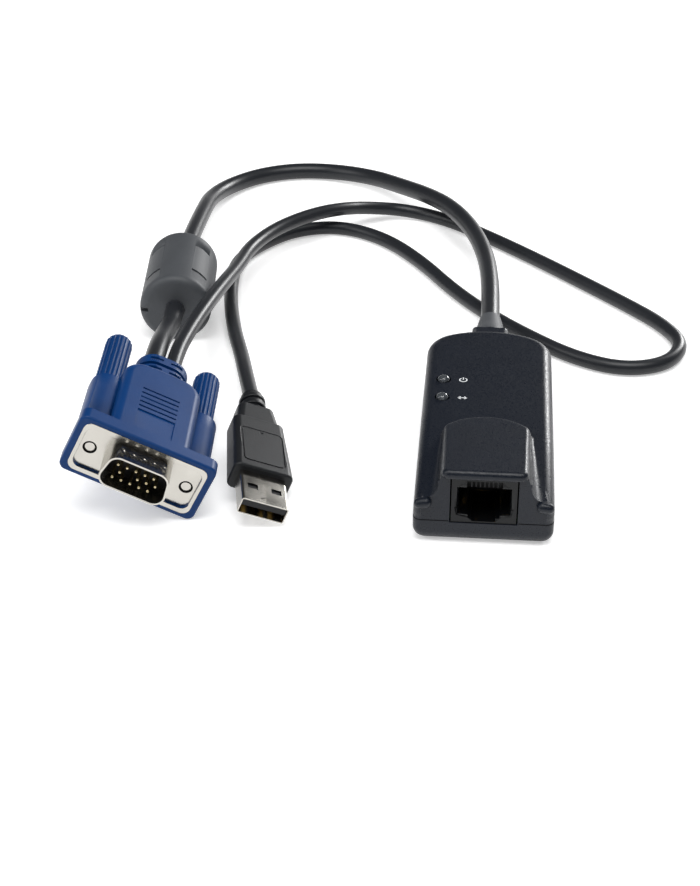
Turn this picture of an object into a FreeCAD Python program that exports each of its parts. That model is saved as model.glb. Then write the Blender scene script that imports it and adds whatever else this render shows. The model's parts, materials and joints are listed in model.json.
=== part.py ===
"""KVM server interface module: a small moulded housing with a network jack, and a cable set
that ends in a video plug and a USB plug.

Row frame, in millimetres: +X across the module, +Y from the jack towards the cable exit, +Z up.
The origin is under the housing's centre line, on the surface that it lies on, 38.5 mm behind the
nose of its visor. The two plugs are modelled in frames of their own (x across, y from the
contact face back towards the cable, z up) and then laid down.
"""
import FreeCAD
import Part
import math
import os

os.makedirs("parts", exist_ok=True)

V = FreeCAD.Vector
X_AXIS = V(1, 0, 0)
Y_AXIS = V(0, 1, 0)
Z_AXIS = V(0, 0, 1)

# ---------------------------------------------------------------- driving dimensions
# Housing
FRONT_Y = -38.5          # visor nose
REAR_Y = 44.2            # rear of the shells, without the cable exit block
WIDTH = 33.6
PARTING_Z = 6.3          # joint between the bottom and the top shell
DECK_Z = 16.3            # top face behind the hood
DECK_FRONT_Z = 12.4      # the same face where it runs out at the shoulders
WALL = 1.6
SIDE_DRAFT = 0.55        # how far the side walls lean in from the parting line to DRAFT_TOP_Z
DRAFT_TOP_Z = 24.0
REAR_CORNER_R = 10.5
REAR_ARC_R = 24.0
FRONT_CORNER_R = 2.0
DECK_EDGE_R = 2.8
BOTTOM_EDGE_R = 3.6
FACE_SETBACK = 1.4       # front face behind the visor nose and the shoulder noses

# Hood over the jack
HOOD_HALF = 9.9          # half width at the top of the nose
HOOD_NOSE_Z = 20.9
HOOD_REAR_Z = 18.4
HOOD_REAR_Y = -7.6
HOOD_FLARE = 12.0        # degrees, outward lean of the side walls
HOOD_CORNER_R = 3.2
HOOD_ARC_R = 14.0
HOOD_NOSE_CORNER_R = 1.8
HOOD_EDGE_R = 1.25
HOOD_FOOT_R = 0.9        # hollow where the hood runs into the deck
VISOR_THICK = 2.5
VISOR_ROLL_R = 1.0
FLARE_FRONT_R = 3.6      # hollow between hood and shoulder, widest at the face
FLARE_REAR_R = 1.0
FLARE_REAR_Y = -13.0
FLARE_SINK = 0.04
SHOULDER_THICK = 2.2
SHOULDER_INNER_X = 12.9
SHOULDER_ROLL_R = 0.9
SHOULDER_CORNER_R = 2.4

# Shell joint, pillars and screws
LIP_WIDE = 0.7
LIP_HIGH = 1.0
LIP_GAP = 0.1
LOW_PILLAR_R = 3.2
TOP_PILLAR_R = 2.6
PILLAR_X = 10.0
PILLAR_YS = (-18.5, 24.5)
SCREW_R = 0.85
SCREW_BORE_R = 1.2        # clearance through the bottom shell
BOARD_HOLE_R = 1.5
SCREW_HEAD_R = 2.1
SCREW_HEAD_HIGH = 1.3
HEAD_RECESS_R = 2.35
HEAD_RECESS_DEEP = 1.9
SCREW_REACH = 10.6       # height of the screw's point over the housing's base

# Circuit board and what stands on it
BOARD_TOP_Z = 5.9
BOARD_THICK = 1.6
BOARD_GAP = 0.35
BOARD_REAR_Y = 36.5
CHIP_PLACES = {          # x, y, width, depth, height
    "line_transformer": (0.0, -15.5, 12.4, 7.0, 5.2),
    "controller_chip": (2.5, -1.5, 14.0, 14.0, 1.4),
    "video_converter_chip": (3.5, 13.0, 9.0, 9.0, 1.0),
    "memory_chip": (-7.0, -5.5, 4.4, 8.0, 1.1),
    "clock_crystal": (11.6, 11.0, 3.2, 5.0, 1.2)}
CAPACITOR_PLACES = ((-7.2, 1.5), (-7.2, 5.0), (-7.2, 10.0), (11.8, 2.5), (11.8, 5.5), (-3.5, 19.0))
HEADER_FRONT = 29.0
HEADER_BACK = 33.6
HEADER_WIDE = 11.0
HEADER_HIGH = 3.2
HEADER_PLUG_HIGH = 3.0
CORE_WIRE_R = 0.42
FIT_GAP = 0.05           # between a part and the shell it is pressed into

# Network jack
JACK_WIDE = 15.5
JACK_HIGH = 12.0
JACK_DEEP = 14.2
JACK_RECESS = 0.3
JACK_WINDOW_GAP = 0.35
SOCKET_WIDE = 12.1
SOCKET_FLOOR = 2.3       # floor of the plug cavity over the jack's base
SOCKET_HIGH = 7.3
SOCKET_DEEP = 12.2
SOCKET_LEAD_IN = 0.5
LATCH_STEPS = ((7.6, 1.4), (5.6, 0.45))   # width of each step, and its floor over the base
COMB_WIDE = 8.4
COMB_ROOF = 0.45
COMB_TOOTH = 0.35
CONTACT_PITCH = 1.016
CONTACT_COUNT = 8
CONTACT_WIDE = 0.4
CONTACT_THICK = 0.32

# Indicator lamps
LAMP_X = -11.6
LAMP_PLACES = {"power_led": 14.2, "active_led": 4.9}
LAMP_R = 1.5
LAMP_HOLE_R = 1.95
LAMP_BODY_HIGH = 5.3
LAMP_PROUD = 0.35

# Cable exit
EXIT_Z = 10.6
EXIT_BLOCK_WIDE = 9.8
EXIT_BLOCK_IN = 3.5      # how far the block reaches into the shells
EXIT_BLOCK_OUT = 2.2     # how far it stands out behind them
EXIT_BLOCK_TOP = 15.3
EXIT_BLOCK_LOW = 3.4
BOOT_NECK_R = 3.6
BOOT_GAP = 0.05
BOOT_ROOT_R = 4.8
BOOT_TIP_R = 3.1
BOOT_LONG = 12.6
BOOT_MID_R = 4.0
BOOT_FLANGE_R = 4.2
BOOT_FLANGE_THICK = 1.5
EXIT_BLOCK_EDGE_R = 1.2

# Cables
MAIN_CABLE_R = 2.65
USB_CABLE_R = 2.1

# Ferrite
FERRITE_FRONT = (-89.8, 59.7)
FERRITE_YAW = 5.0        # degrees, anticlockwise
FERRITE_R = 10.2
FERRITE_LONG = 32.5
FERRITE_RIM_R = 2.2
CORE_R = 8.6
CORE_LONG = 28.5
CORE_BORE_R = 4.2
FERRITE_SLOT_LONG = 5.4
FERRITE_SLOT_WIDE = 1.1
FERRITE_SLOT_DEEP = 1.1
FERRITE_SLOT_ANGLE = 42.0
FERRITE_SLOT_PLACES = (8.0, 24.5)

# Video plug, in its own frame
VIDEO_POSE = dict(at=(-83.1, -32.8, 14.8), yaw=2.5, pitch=2.5, roll=26.2)
FLANGE_WIDE = 30.8
FLANGE_HIGH = 12.5
FLANGE_THICK = 0.8
FLANGE_CORNER_R = 2.4
JACKSCREW_X = 12.495
SHROUD_WIDE = 16.92      # inside, at the wide side of the D
SHROUD_HIGH = 8.36       # inside
SHROUD_WALL = 0.45
SHROUD_OUT = 5.9
SHROUD_CORNER_R = 2.5
SHROUD_SLOPE = 10.0      # degrees
PIN_PITCH = 2.29
PIN_ROW = 1.98
PIN_R = 0.38
PIN_OUT = 5.2
PIN_BACK = 9.0
FRAME_WIDE = 35.2
FRAME_HIGH = 16.9
FRAME_OUT = 0.8
FRAME_BACK = 3.2
FRAME_CORNER_R = 2.0
GRIP_BODY_HALF = 10.4
GRIP_BODY_HIGH = 15.0
GRIP_BODY_BACK = 34.0
GRIP_BODY_CORNER_R = 6.0
GRIP_BODY_EDGE_R = 2.2
CHANNEL_WIDE = 9.0
CHANNEL_HIGH = 10.4
CHANNEL_CORNER_R = 4.2
CHANNEL_BACK = 25.5
COLLAR_WIDE = 14.0
COLLAR_HIGH = 10.4
COLLAR_STEP = 0.9        # groove depth between the collar's rings
COLLAR_BACK = 43.0
STEM_R = 2.5
STEM_GAP = 0.06
GRIP_R = 3.5
GRIP_FRONT = 26.0
GRIP_BACK = 48.8
GRIP_FLUTES = 18
GRIP_END_R = 1.4
GRIP_GAP = 0.35
FLUTE_R = 0.42
STEM_FRONT = 7.0
THRUST_GAP = 0.3
SHANK_R = 1.42
SHANK_GAP = 0.18         # round the shank, in the flanges and in the hood
SHANK_FRONT = 0.2
SHANK_HOLD = 8.0         # length of the shank inside the knob
DIMPLE_COUNT = 5
DIMPLE_PITCH = 2.6
DIMPLE_R = 1.6
DIMPLE_DEEP = 0.28
REAR_PLATE_THICK = 0.6
REAR_SKIRT_BACK = 6.5
INSULATOR_WIDE = 18.4
INSULATOR_HIGH = 9.4
FRAME_EDGE_R = 0.6
FLANGE_COVER = 0.4       # how far the hood laps over the flange's edge
COLLAR_RINGS = ((35.4, 38.3), (39.6, 43.0))
COLLAR_SLOTS = ((-5.2, -1.0), (1.0, 5.2))
GROOVE_COUNT = 5
GROOVE_PITCH = 1.95
GROOVE_FRONT = 14.2
GROOVE_HALF = 4.9
GROOVE_DEEP = 0.5
PANEL_FRONT = 5.0
PANEL_BACK = 12.6
PANEL_DEEP = 0.3

# USB plug, in its own frame
USB_POSE = dict(at=(-52.9, -34.9, 5.28), yaw=10.45, pitch=3.2, roll=22.1)
USB_WIDE = 12.0
USB_HIGH = 4.5
USB_WALL = 0.3
USB_OUT = 12.0
USB_SHELL_LONG = 19.0
USB_TONGUE_THICK = 1.84
USB_BLOCK_WIDE = 15.6
USB_BLOCK_HIGH = 7.8
USB_BLOCK_BACK = 35.0
USB_NECK_WIDE = 10.6
USB_NECK_HIGH = 7.0
USB_NECK_BACK = 42.5
USB_RING_R = 3.5
USB_RINGS = ((43.4, 45.6), (46.6, 48.2))
USB_BACK = 50.0
USB_CORNER_R = 0.6
USB_WINDOW_X = 3.05
USB_WINDOW_Y = 6.0
USB_WINDOW_WIDE = 2.6
USB_SEAM = ((0.1, -0.5), (0.1, 1.4), (-1.2, 1.9), (-1.2, 4.0), (0.1, 4.2), (0.1, 10.0), (-1.2, 10.4),
            (-1.2, 12.5))
USB_SEAM_WIDE = 0.1
USB_SEAM_DEEP = 0.12
USB_TONGUE_FRONT = 0.4
USB_BLOCK_R = 1.8
USB_BLOCK_TAPER = 2.0
USB_RIM_R = 0.6
USB_PANEL_WIDE = 11.2
USB_PANEL_FRONT = 14.5
USB_PANEL_BACK = 29.5
USB_PANEL_DEEP = 0.25

# Points that the two free cables follow, from the module and from the video plug
MAIN_ROUTE = [
    (0.0, 38.7, 10.6), (0.0, 64.0, 10.6), (-0.4, 86.0, 10.5), (-2.2, 105.0, 10.1),
    (-6.3, 123.0, 9.9), (-13.1, 139.0, 9.9), (-21.1, 151.5, 8.6), (-31.0, 164.5, 6.2),
    (-41.1, 176.6, 4.0), (-53.8, 183.4, 2.8), (-67.5, 184.1, 2.65), (-80.0, 178.8, 2.65),
    (-89.1, 168.4, 3.0), (-93.6, 153.3, 5.0), (-93.4, 135.0, 8.0), (-93.46, 101.54, 10.2),
    (-89.28, 53.72, 10.2), (-88.4, 37.5, 14.6), (-87.83, 22.0, 18.3), (-87.3, 9.97, 17.82)]
USB_ROUTE = [
    (-82.65, 10.27, 15.53), (-83.16, 22.0, 16.04), (-81.7, 36.0, 16.3), (-79.4, 52.0, 16.1),
    (-77.3, 68.2, 14.6), (-75.3, 85.1, 12.2), (-74.0, 102.7, 10.6), (-68.0, 118.6, 9.9),
    (-58.9, 130.0, 9.7), (-50.2, 137.6, 9.0), (-41.2, 148.3, 5.2), (-28.7, 153.9, 2.3),
    (-15.0, 147.7, 2.1), (-0.4, 134.2, 2.1), (14.2, 119.1, 2.1), (27.6, 104.3, 2.1),
    (40.5, 89.7, 2.1), (49.9, 78.1, 2.1), (55.3, 65.9, 2.1), (50.0, 53.7, 2.1),
    (37.4, 49.5, 2.1), (24.1, 55.3, 2.1), (11.9, 66.4, 2.1), (0.0, 79.4, 2.1),
    (-11.1, 95.0, 2.1), (-22.0, 114.8, 2.1), (-34.2, 131.0, 2.1), (-48.8, 139.4, 2.1),
    (-62.8, 136.0, 2.1), (-73.2, 124.4, 2.1), (-79.5, 110.4, 2.1), (-78.8, 93.7, 2.1),
    (-76.5, 77.5, 2.1), (-73.0, 61.0, 2.6), (-68.9, 45.0, 4.4), (-65.6, 29.5, 6.9),
    (-61.95, 14.19, 8.07)]

FACE_Y = FRONT_Y + FACE_SETBACK
JACK_LEG_Y = FACE_Y + JACK_RECESS + JACK_DEEP - 1.0
BOOT_FLANGE_Y = REAR_Y - 1.0
FLANGE_HOLE_R = SHANK_R + SHANK_GAP


# ---------------------------------------------------------------- helpers
def block(x0, x1, y0, y1, z0, z1):
    return Part.makeBox(x1 - x0, y1 - y0, z1 - z0, V(x0, y0, z0))


def rod(radius, start, end):
    start = V(*start)
    along = V(*end) - start
    return Part.makeCylinder(radius, along.Length, start, along)


def line(a, b):
    return Part.LineSegment(V(*a), V(*b)).toShape()


def arc(a, middle, b):
    return Part.Arc(V(*a), V(*middle), V(*b)).toShape()


def fillet(shape, radius, picked):
    """Round the edges for which picked(edge) is true."""
    return shape.makeFillet(radius, [edge for edge in shape.Edges if picked(edge)])


def rounded_rect(wide, high, radius, y):
    """Wire of a rectangle with round corners, centred, in the plane across Y at y."""
    w = wide / 2
    h = high / 2
    r = radius
    d = r * (1 - math.sqrt(0.5))
    return Part.Wire([
        line((-w + r, y, -h), (w - r, y, -h)),
        arc((w - r, y, -h), (w - d, y, -h + d), (w, y, -h + r)),
        line((w, y, -h + r), (w, y, h - r)),
        arc((w, y, h - r), (w - d, y, h - d), (w - r, y, h)),
        line((w - r, y, h), (-w + r, y, h)),
        arc((-w + r, y, h), (-w + d, y, h - d), (-w, y, h - r)),
        line((-w, y, h - r), (-w, y, -h + r)),
        arc((-w, y, -h + r), (-w + d, y, -h + d), (-w + r, y, -h))])


def slab(wide, high, radius, y0, y1):
    """Rounded bar along Y from y0 to y1."""
    return Part.Face(rounded_rect(wide, high, radius, y0)).extrude(V(0, y1 - y0, 0))


def plan_wire(half, front, apex, nose_r, corner_r, arc_r, z):
    """Plan outline with a straight front, front corners of radius nose_r (sharp at 0), straight
    sides and an arched rear whose corner arcs touch both the sides and the rear arc."""
    centre_y = apex - arc_r
    corner_x = half - corner_r
    corner_y = centre_y + math.sqrt((arc_r - corner_r) ** 2 - corner_x ** 2)
    reach = arc_r / (arc_r - corner_r)
    touch_x = corner_x * reach
    touch_y = centre_y + (corner_y - centre_y) * reach
    turn = math.atan2(corner_y - centre_y, corner_x) / 2
    mid_x = corner_x + corner_r * math.cos(turn)
    mid_y = corner_y + corner_r * math.sin(turn)
    rear = [
        line((half, front + nose_r, z), (half, corner_y, z)),
        arc((half, corner_y, z), (mid_x, mid_y, z), (touch_x, touch_y, z)),
        arc((touch_x, touch_y, z), (0, apex, z), (-touch_x, touch_y, z)),
        arc((-touch_x, touch_y, z), (-mid_x, mid_y, z), (-half, corner_y, z)),
        line((-half, corner_y, z), (-half, front + nose_r, z))]
    nose_x = half - nose_r
    nose = [line((-nose_x, front, z), (nose_x, front, z))]
    if nose_r > 0:
        near = nose_r * (1 - math.sqrt(0.5))
        nose.append(arc((nose_x, front, z), (half - near, front + near, z), (half, front + nose_r, z)))
        rear.append(arc((-half, front + nose_r, z), (near - half, front + near, z), (-nose_x, front, z)))
    return Part.Wire(nose + rear)


def housing_plan(inset, front, nose_r, z):
    return plan_wire(WIDTH / 2 - inset, front, REAR_Y - inset, nose_r, REAR_CORNER_R - inset,
                     REAR_ARC_R - inset, z)


def housing_prism(inset, front, z0, z1):
    nose_r = max(FRONT_CORNER_R - inset, 0.3)
    return Part.Face(housing_plan(inset, front, nose_r, z0)).extrude(V(0, 0, z1 - z0))


def deck_z(y):
    """Height of the deck: level behind the middle, then a long arc down to the front."""
    if y >= 0:
        return DECK_Z
    drop = DECK_Z - DECK_FRONT_Z
    radius = (FRONT_Y ** 2 + drop ** 2) / (2 * drop)
    return DECK_Z - radius + math.sqrt(radius ** 2 - y ** 2)


def hood_half(z):
    return HOOD_HALF + (HOOD_NOSE_Z - z) * math.tan(math.radians(HOOD_FLARE))


def hood_top_z(y):
    slope = (HOOD_NOSE_Z - HOOD_REAR_Z) / (HOOD_REAR_Y - FRONT_Y)
    return HOOD_REAR_Z + (HOOD_REAR_Y - y) * slope


def top_form(inset, front):
    """Outer form of the top shell (inset 0), or the room inside a wall of that thickness."""
    low = PARTING_Z
    walls = Part.makeLoft([housing_plan(inset, front, 0, low),
                           housing_plan(inset + SIDE_DRAFT, front, 0, DRAFT_TOP_Z)], True, True)
    half_way = FRONT_Y / 2
    side = Part.Wire([
        line((0, FRONT_Y, low), (0, REAR_Y, low)),
        line((0, REAR_Y, low), (0, REAR_Y, deck_z(0) - inset)),
        line((0, REAR_Y, deck_z(0) - inset), (0, 0, deck_z(0) - inset)),
        arc((0, 0, deck_z(0) - inset), (0, half_way, deck_z(half_way) - inset),
            (0, FRONT_Y, deck_z(FRONT_Y) - inset)),
        line((0, FRONT_Y, deck_z(FRONT_Y) - inset), (0, FRONT_Y, low))])
    below_deck = Part.Face(side).extrude(V(WIDTH, 0, 0))
    below_deck.translate(V(-WIDTH / 2, 0, 0))
    body = walls.common(below_deck)

    def hood_plan(z):
        nose_r = max(HOOD_NOSE_CORNER_R - inset, 0.3)
        return plan_wire(hood_half(z) - inset, front, HOOD_REAR_Y + (HOOD_REAR_Z - z) * 0.2 - inset,
                         nose_r, HOOD_CORNER_R, HOOD_ARC_R, z)

    hood = Part.makeLoft([hood_plan(low), hood_plan(DRAFT_TOP_Z)], True, True)
    under = Part.makePolygon([
        V(0, FRONT_Y, low), V(0, 0, low), V(0, 0, hood_top_z(0) - inset),
        V(0, FRONT_Y, HOOD_NOSE_Z - inset), V(0, FRONT_Y, low)])
    below_hood = Part.Face(under).extrude(V(WIDTH, 0, 0))
    below_hood.translate(V(-WIDTH / 2, 0, 0))
    return body, hood.common(below_hood)


def front_cutter():
    """Room in front of the set-back face: below the visor nose and below the two shoulder
    noses, which it leaves standing out."""
    visor_z = HOOD_NOSE_Z - VISOR_THICK
    shoulder_z = DECK_FRONT_Z - SHOULDER_THICK
    x = SHOULDER_INNER_X
    low = PARTING_Z - 1
    out = FRONT_Y - 1
    outline = Part.makePolygon([
        V(-WIDTH, out, low), V(WIDTH, out, low), V(WIDTH, out, shoulder_z), V(x, out, shoulder_z),
        V(x, out, visor_z), V(-x, out, visor_z), V(-x, out, shoulder_z), V(-WIDTH, out, shoulder_z),
        V(-WIDTH, out, low)])
    room = Part.Face(outline).extrude(V(0, FACE_Y + FRONT_CORNER_R - out, 0))
    return room.cut(housing_prism(0, FACE_Y, low - 1, HOOD_NOSE_Z))


def shoulder_corner(side):
    """What the rounded outer corner of a shoulder nose leaves out of a square one."""
    centre_x = side * (WIDTH / 2 - SHOULDER_CORNER_R)
    centre_y = FRONT_Y + SHOULDER_CORNER_R
    outer_x = side * WIDTH
    low = DECK_FRONT_Z - SHOULDER_THICK - 1
    room = block(min(centre_x, outer_x), max(centre_x, outer_x), FRONT_Y - 1, centre_y, low, HOOD_NOSE_Z)
    return room.cut(rod(SHOULDER_CORNER_R, (centre_x, centre_y, low), (centre_x, centre_y, HOOD_NOSE_Z)))


def in_front_plane(edge):
    return edge.BoundBox.YMax < FRONT_Y + 0.02


def ends_on(edge, height):
    """True for an edge whose ends both lie on the surface z = height(y)."""
    ends = (edge.valueAt(edge.FirstParameter), edge.valueAt(edge.LastParameter))
    return all(abs(p.z - height(p.y)) < 0.05 for p in ends)


def is_deck_rim(edge):
    box = edge.BoundBox
    upright = box.ZLength > 0.01 and box.YLength < 0.01
    return not in_front_plane(edge) and not upright and box.ZMin > DECK_FRONT_Z - 1


def is_hood_foot(edge):
    box = edge.BoundBox
    inside = max(abs(box.XMin), abs(box.XMax)) < SHOULDER_INNER_X and box.YMax < HOOD_REAR_Y + 2
    return inside and box.YLength > 0.1 and ends_on(edge, deck_z)


def is_hood_rim(edge):
    return edge.BoundBox.YMax < 0 and ends_on(edge, hood_top_z)


def make_flare(side):
    """Hollow between the hood's wall and the deck on one side. Each section is a circular arc
    that touches both, and its radius grows evenly towards the face."""
    lean = math.radians(HOOD_FLARE)
    sections = []
    for step in range(5):
        part = step / 4
        y = FLARE_REAR_Y + (FACE_Y - FLARE_REAR_Y) * part
        radius = FLARE_REAR_R + (FLARE_FRONT_R - FLARE_REAR_R) * part
        deck = deck_z(y)
        centre_z = deck + radius - FLARE_SINK
        wall_x = hood_half(centre_z)
        centre_x = wall_x + (radius - FLARE_SINK) / math.cos(lean)
        reach = radius + FLARE_SINK

        def on_arc(angle):
            return (side * (centre_x - radius * math.cos(angle)), y, centre_z - radius * math.sin(angle))

        start = -lean - 0.1
        end = math.pi / 2 + 0.1
        low = (side * (centre_x + radius * math.sin(0.1)), y, deck - 0.8)
        inner = (side * (hood_half(deck) - 0.8), y, deck - 0.8)
        upper = (side * (wall_x - reach), y, on_arc(start)[2])
        sections.append(Part.Wire([
            arc(on_arc(start), on_arc((start + end) / 2), on_arc(end)), line(on_arc(end), low),
            line(low, inner), line(inner, upper), line(upper, on_arc(start))]))
    return Part.makeLoft(sections, True, False)


def exit_cut(reach_low):
    """Room for the boot's neck and its flange: round at the top, open down to reach_low."""
    y0 = REAR_Y - EXIT_BLOCK_IN - 1
    y1 = REAR_Y + EXIT_BLOCK_OUT + 1
    neck = BOOT_NECK_R + BOOT_GAP
    flange = BOOT_FLANGE_R + BOOT_GAP
    f0 = BOOT_FLANGE_Y - BOOT_GAP
    f1 = BOOT_FLANGE_Y + BOOT_FLANGE_THICK + BOOT_GAP
    room = rod(neck, (0, y0, EXIT_Z), (0, y1, EXIT_Z))
    room = room.fuse(rod(flange, (0, f0, EXIT_Z), (0, f1, EXIT_Z)))
    if reach_low < EXIT_Z:
        room = room.fuse(block(-neck, neck, y0, y1, reach_low, EXIT_Z))
        room = room.fuse(block(-flange, flange, f0, f1, reach_low, EXIT_Z))
    return room


def lip_ring(outer, inner, high):
    """Ring along the parting line, left out at the jack and at the cable exit."""
    ring = housing_prism(outer, FACE_Y + outer, PARTING_Z, PARTING_Z + high)
    ring = ring.cut(housing_prism(inner, FACE_Y + inner, PARTING_Z - 1, PARTING_Z + high + 1))
    gap_half = JACK_WIDE / 2 + 1
    ring = ring.cut(block(-gap_half, gap_half, FRONT_Y, FRONT_Y + 8, 0, DECK_Z))
    exit_half = EXIT_BLOCK_WIDE / 2 + 1
    return ring.cut(block(-exit_half, exit_half, REAR_Y - 8, REAR_Y + 1, 0, DECK_Z))


def pillar_places():
    return [(x, y) for x in (-PILLAR_X, PILLAR_X) for y in PILLAR_YS]


def make_top_shell():
    body, hood = top_form(0, FRONT_Y)
    body = fillet(body, DECK_EDGE_R, is_deck_rim)
    form = body.fuse(hood).removeSplitter()
    form = fillet(form, HOOD_FOOT_R, is_hood_foot)
    form = fillet(form, HOOD_EDGE_R, is_hood_rim)
    form = form.fuse(make_flare(-1)).fuse(make_flare(1)).cut(front_cutter())
    visor_low = HOOD_NOSE_Z - VISOR_THICK - 0.1
    form = fillet(form, VISOR_ROLL_R, lambda e: in_front_plane(e) and e.BoundBox.ZMin > visor_low)
    shoulder_top = DECK_FRONT_Z + 0.4
    form = fillet(form, SHOULDER_ROLL_R,
                  lambda e: in_front_plane(e) and e.BoundBox.ZMax < shoulder_top)
    form = form.cut(shoulder_corner(-1)).cut(shoulder_corner(1))

    exit_block = slab(EXIT_BLOCK_WIDE, 2 * (EXIT_BLOCK_TOP - PARTING_Z), EXIT_BLOCK_EDGE_R,
                      REAR_Y - EXIT_BLOCK_IN, REAR_Y + EXIT_BLOCK_OUT)
    exit_block.translate(V(0, 0, PARTING_Z))
    exit_block = exit_block.common(block(-WIDTH, WIDTH, 0, 2 * REAR_Y, PARTING_Z, DECK_Z))
    outside = form.fuse(exit_block)

    room_body, room_hood = top_form(WALL, FACE_Y + WALL)
    shell = outside.cut(room_body).cut(room_hood)
    shell = shell.fuse(exit_block)
    for x, y in pillar_places():
        pillar = rod(TOP_PILLAR_R, (x, y, BOARD_TOP_Z), (x, y, DECK_Z))
        shell = shell.fuse(pillar.common(form.fuse(
            block(-WIDTH, WIDTH, FRONT_Y, REAR_Y, 0, PARTING_Z))))
        shell = shell.cut(rod(SCREW_R, (x, y, 0), (x, y, SCREW_REACH + 0.3)))
    window_half = JACK_WIDE / 2 + JACK_WINDOW_GAP
    shell = shell.cut(block(-window_half, window_half, FACE_Y - 0.5, FACE_Y + WALL + 0.5,
                            PARTING_Z - 1, HOOD_NOSE_Z - VISOR_THICK))
    jack_back = FACE_Y + JACK_RECESS + JACK_DEEP
    jack_top = BOARD_TOP_Z + JACK_HIGH
    shell = shell.cut(block(-window_half, window_half, FACE_Y + WALL, jack_back + FIT_GAP,
                            PARTING_Z, jack_top + FIT_GAP))
    for y in LAMP_PLACES.values():
        shell = shell.cut(rod(LAMP_HOLE_R, (LAMP_X, y, PARTING_Z + 2), (LAMP_X, y, DECK_Z + 1)))
    shell = shell.cut(exit_cut(PARTING_Z - 1))
    return shell.cut(lip_ring(WALL - LIP_WIDE - LIP_GAP, WALL, LIP_HIGH + LIP_GAP)).removeSplitter()


def bottom_form(inset):
    """Tray form with a rounded lower rim, or the room inside a wall of that thickness."""
    form = housing_prism(inset, FACE_Y + inset, inset, PARTING_Z)
    return fillet(form, BOTTOM_EDGE_R - inset, lambda e: e.BoundBox.ZMax < inset + 0.01)


def make_bottom_shell():
    shell = bottom_form(0)
    ledge = slab(EXIT_BLOCK_WIDE, 2 * (PARTING_Z - EXIT_BLOCK_LOW), EXIT_BLOCK_EDGE_R,
                 REAR_Y - EXIT_BLOCK_IN, REAR_Y + EXIT_BLOCK_OUT)
    ledge.translate(V(0, 0, PARTING_Z))
    ledge = ledge.common(block(-WIDTH, WIDTH, 0, 2 * REAR_Y, 0, PARTING_Z))
    shell = shell.cut(bottom_form(WALL)).fuse(ledge)
    shell = shell.fuse(lip_ring(WALL - LIP_WIDE, WALL, LIP_HIGH))
    saddle = block(-BOOT_NECK_R, BOOT_NECK_R, REAR_Y - EXIT_BLOCK_IN, REAR_Y + EXIT_BLOCK_OUT,
                   PARTING_Z - 1, EXIT_Z - BOOT_NECK_R / 2)
    shell = shell.fuse(saddle).cut(exit_cut(EXIT_Z))
    window_half = JACK_WIDE / 2 + JACK_WINDOW_GAP
    shell = shell.cut(block(-window_half, window_half, FRONT_Y, FACE_Y + WALL + 0.5,
                            BOARD_TOP_Z - FIT_GAP, PARTING_Z + 1))
    for x, y in pillar_places():
        shell = shell.fuse(rod(LOW_PILLAR_R, (x, y, WALL / 2), (x, y, BOARD_TOP_Z - BOARD_THICK)))
        shell = shell.cut(rod(SCREW_BORE_R, (x, y, -1), (x, y, BOARD_TOP_Z)))
        shell = shell.cut(rod(HEAD_RECESS_R, (x, y, -1), (x, y, HEAD_RECESS_DEEP)))
    return shell.removeSplitter()


def make_housing_screws():
    screws = []
    for x, y in pillar_places():
        head = rod(SCREW_HEAD_R, (x, y, HEAD_RECESS_DEEP - SCREW_HEAD_HIGH), (x, y, HEAD_RECESS_DEEP))
        shank = rod(SCREW_R, (x, y, HEAD_RECESS_DEEP - SCREW_HEAD_HIGH / 2), (x, y, SCREW_REACH))
        screw = head.fuse(shank).removeSplitter()
        drive = block(x - 1.1, x + 1.1, y - 0.25, y + 0.25, 0, HEAD_RECESS_DEEP - SCREW_HEAD_HIGH / 2)
        cross = drive.copy()
        cross.rotate(V(x, y, 0), Z_AXIS, 90)
        screws.append(screw.cut(drive).cut(cross))
    return Part.makeCompound(screws)


# ---------------------------------------------------------------- board, jack, lamps
def make_circuit_board():
    inset = WALL + BOARD_GAP
    board = housing_prism(inset, FACE_Y + inset, BOARD_TOP_Z - BOARD_THICK, BOARD_TOP_Z)
    board = board.common(block(-WIDTH, WIDTH, FRONT_Y, BOARD_REAR_Y, 0, DECK_Z))
    for x, y in pillar_places():
        board = board.cut(rod(BOARD_HOLE_R, (x, y, 0), (x, y, DECK_Z)))
    return board


def on_board(x, y, wide, deep, high):
    return block(x - wide / 2, x + wide / 2, y - deep / 2, y + deep / 2,
                 BOARD_TOP_Z, BOARD_TOP_Z + high)


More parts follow.
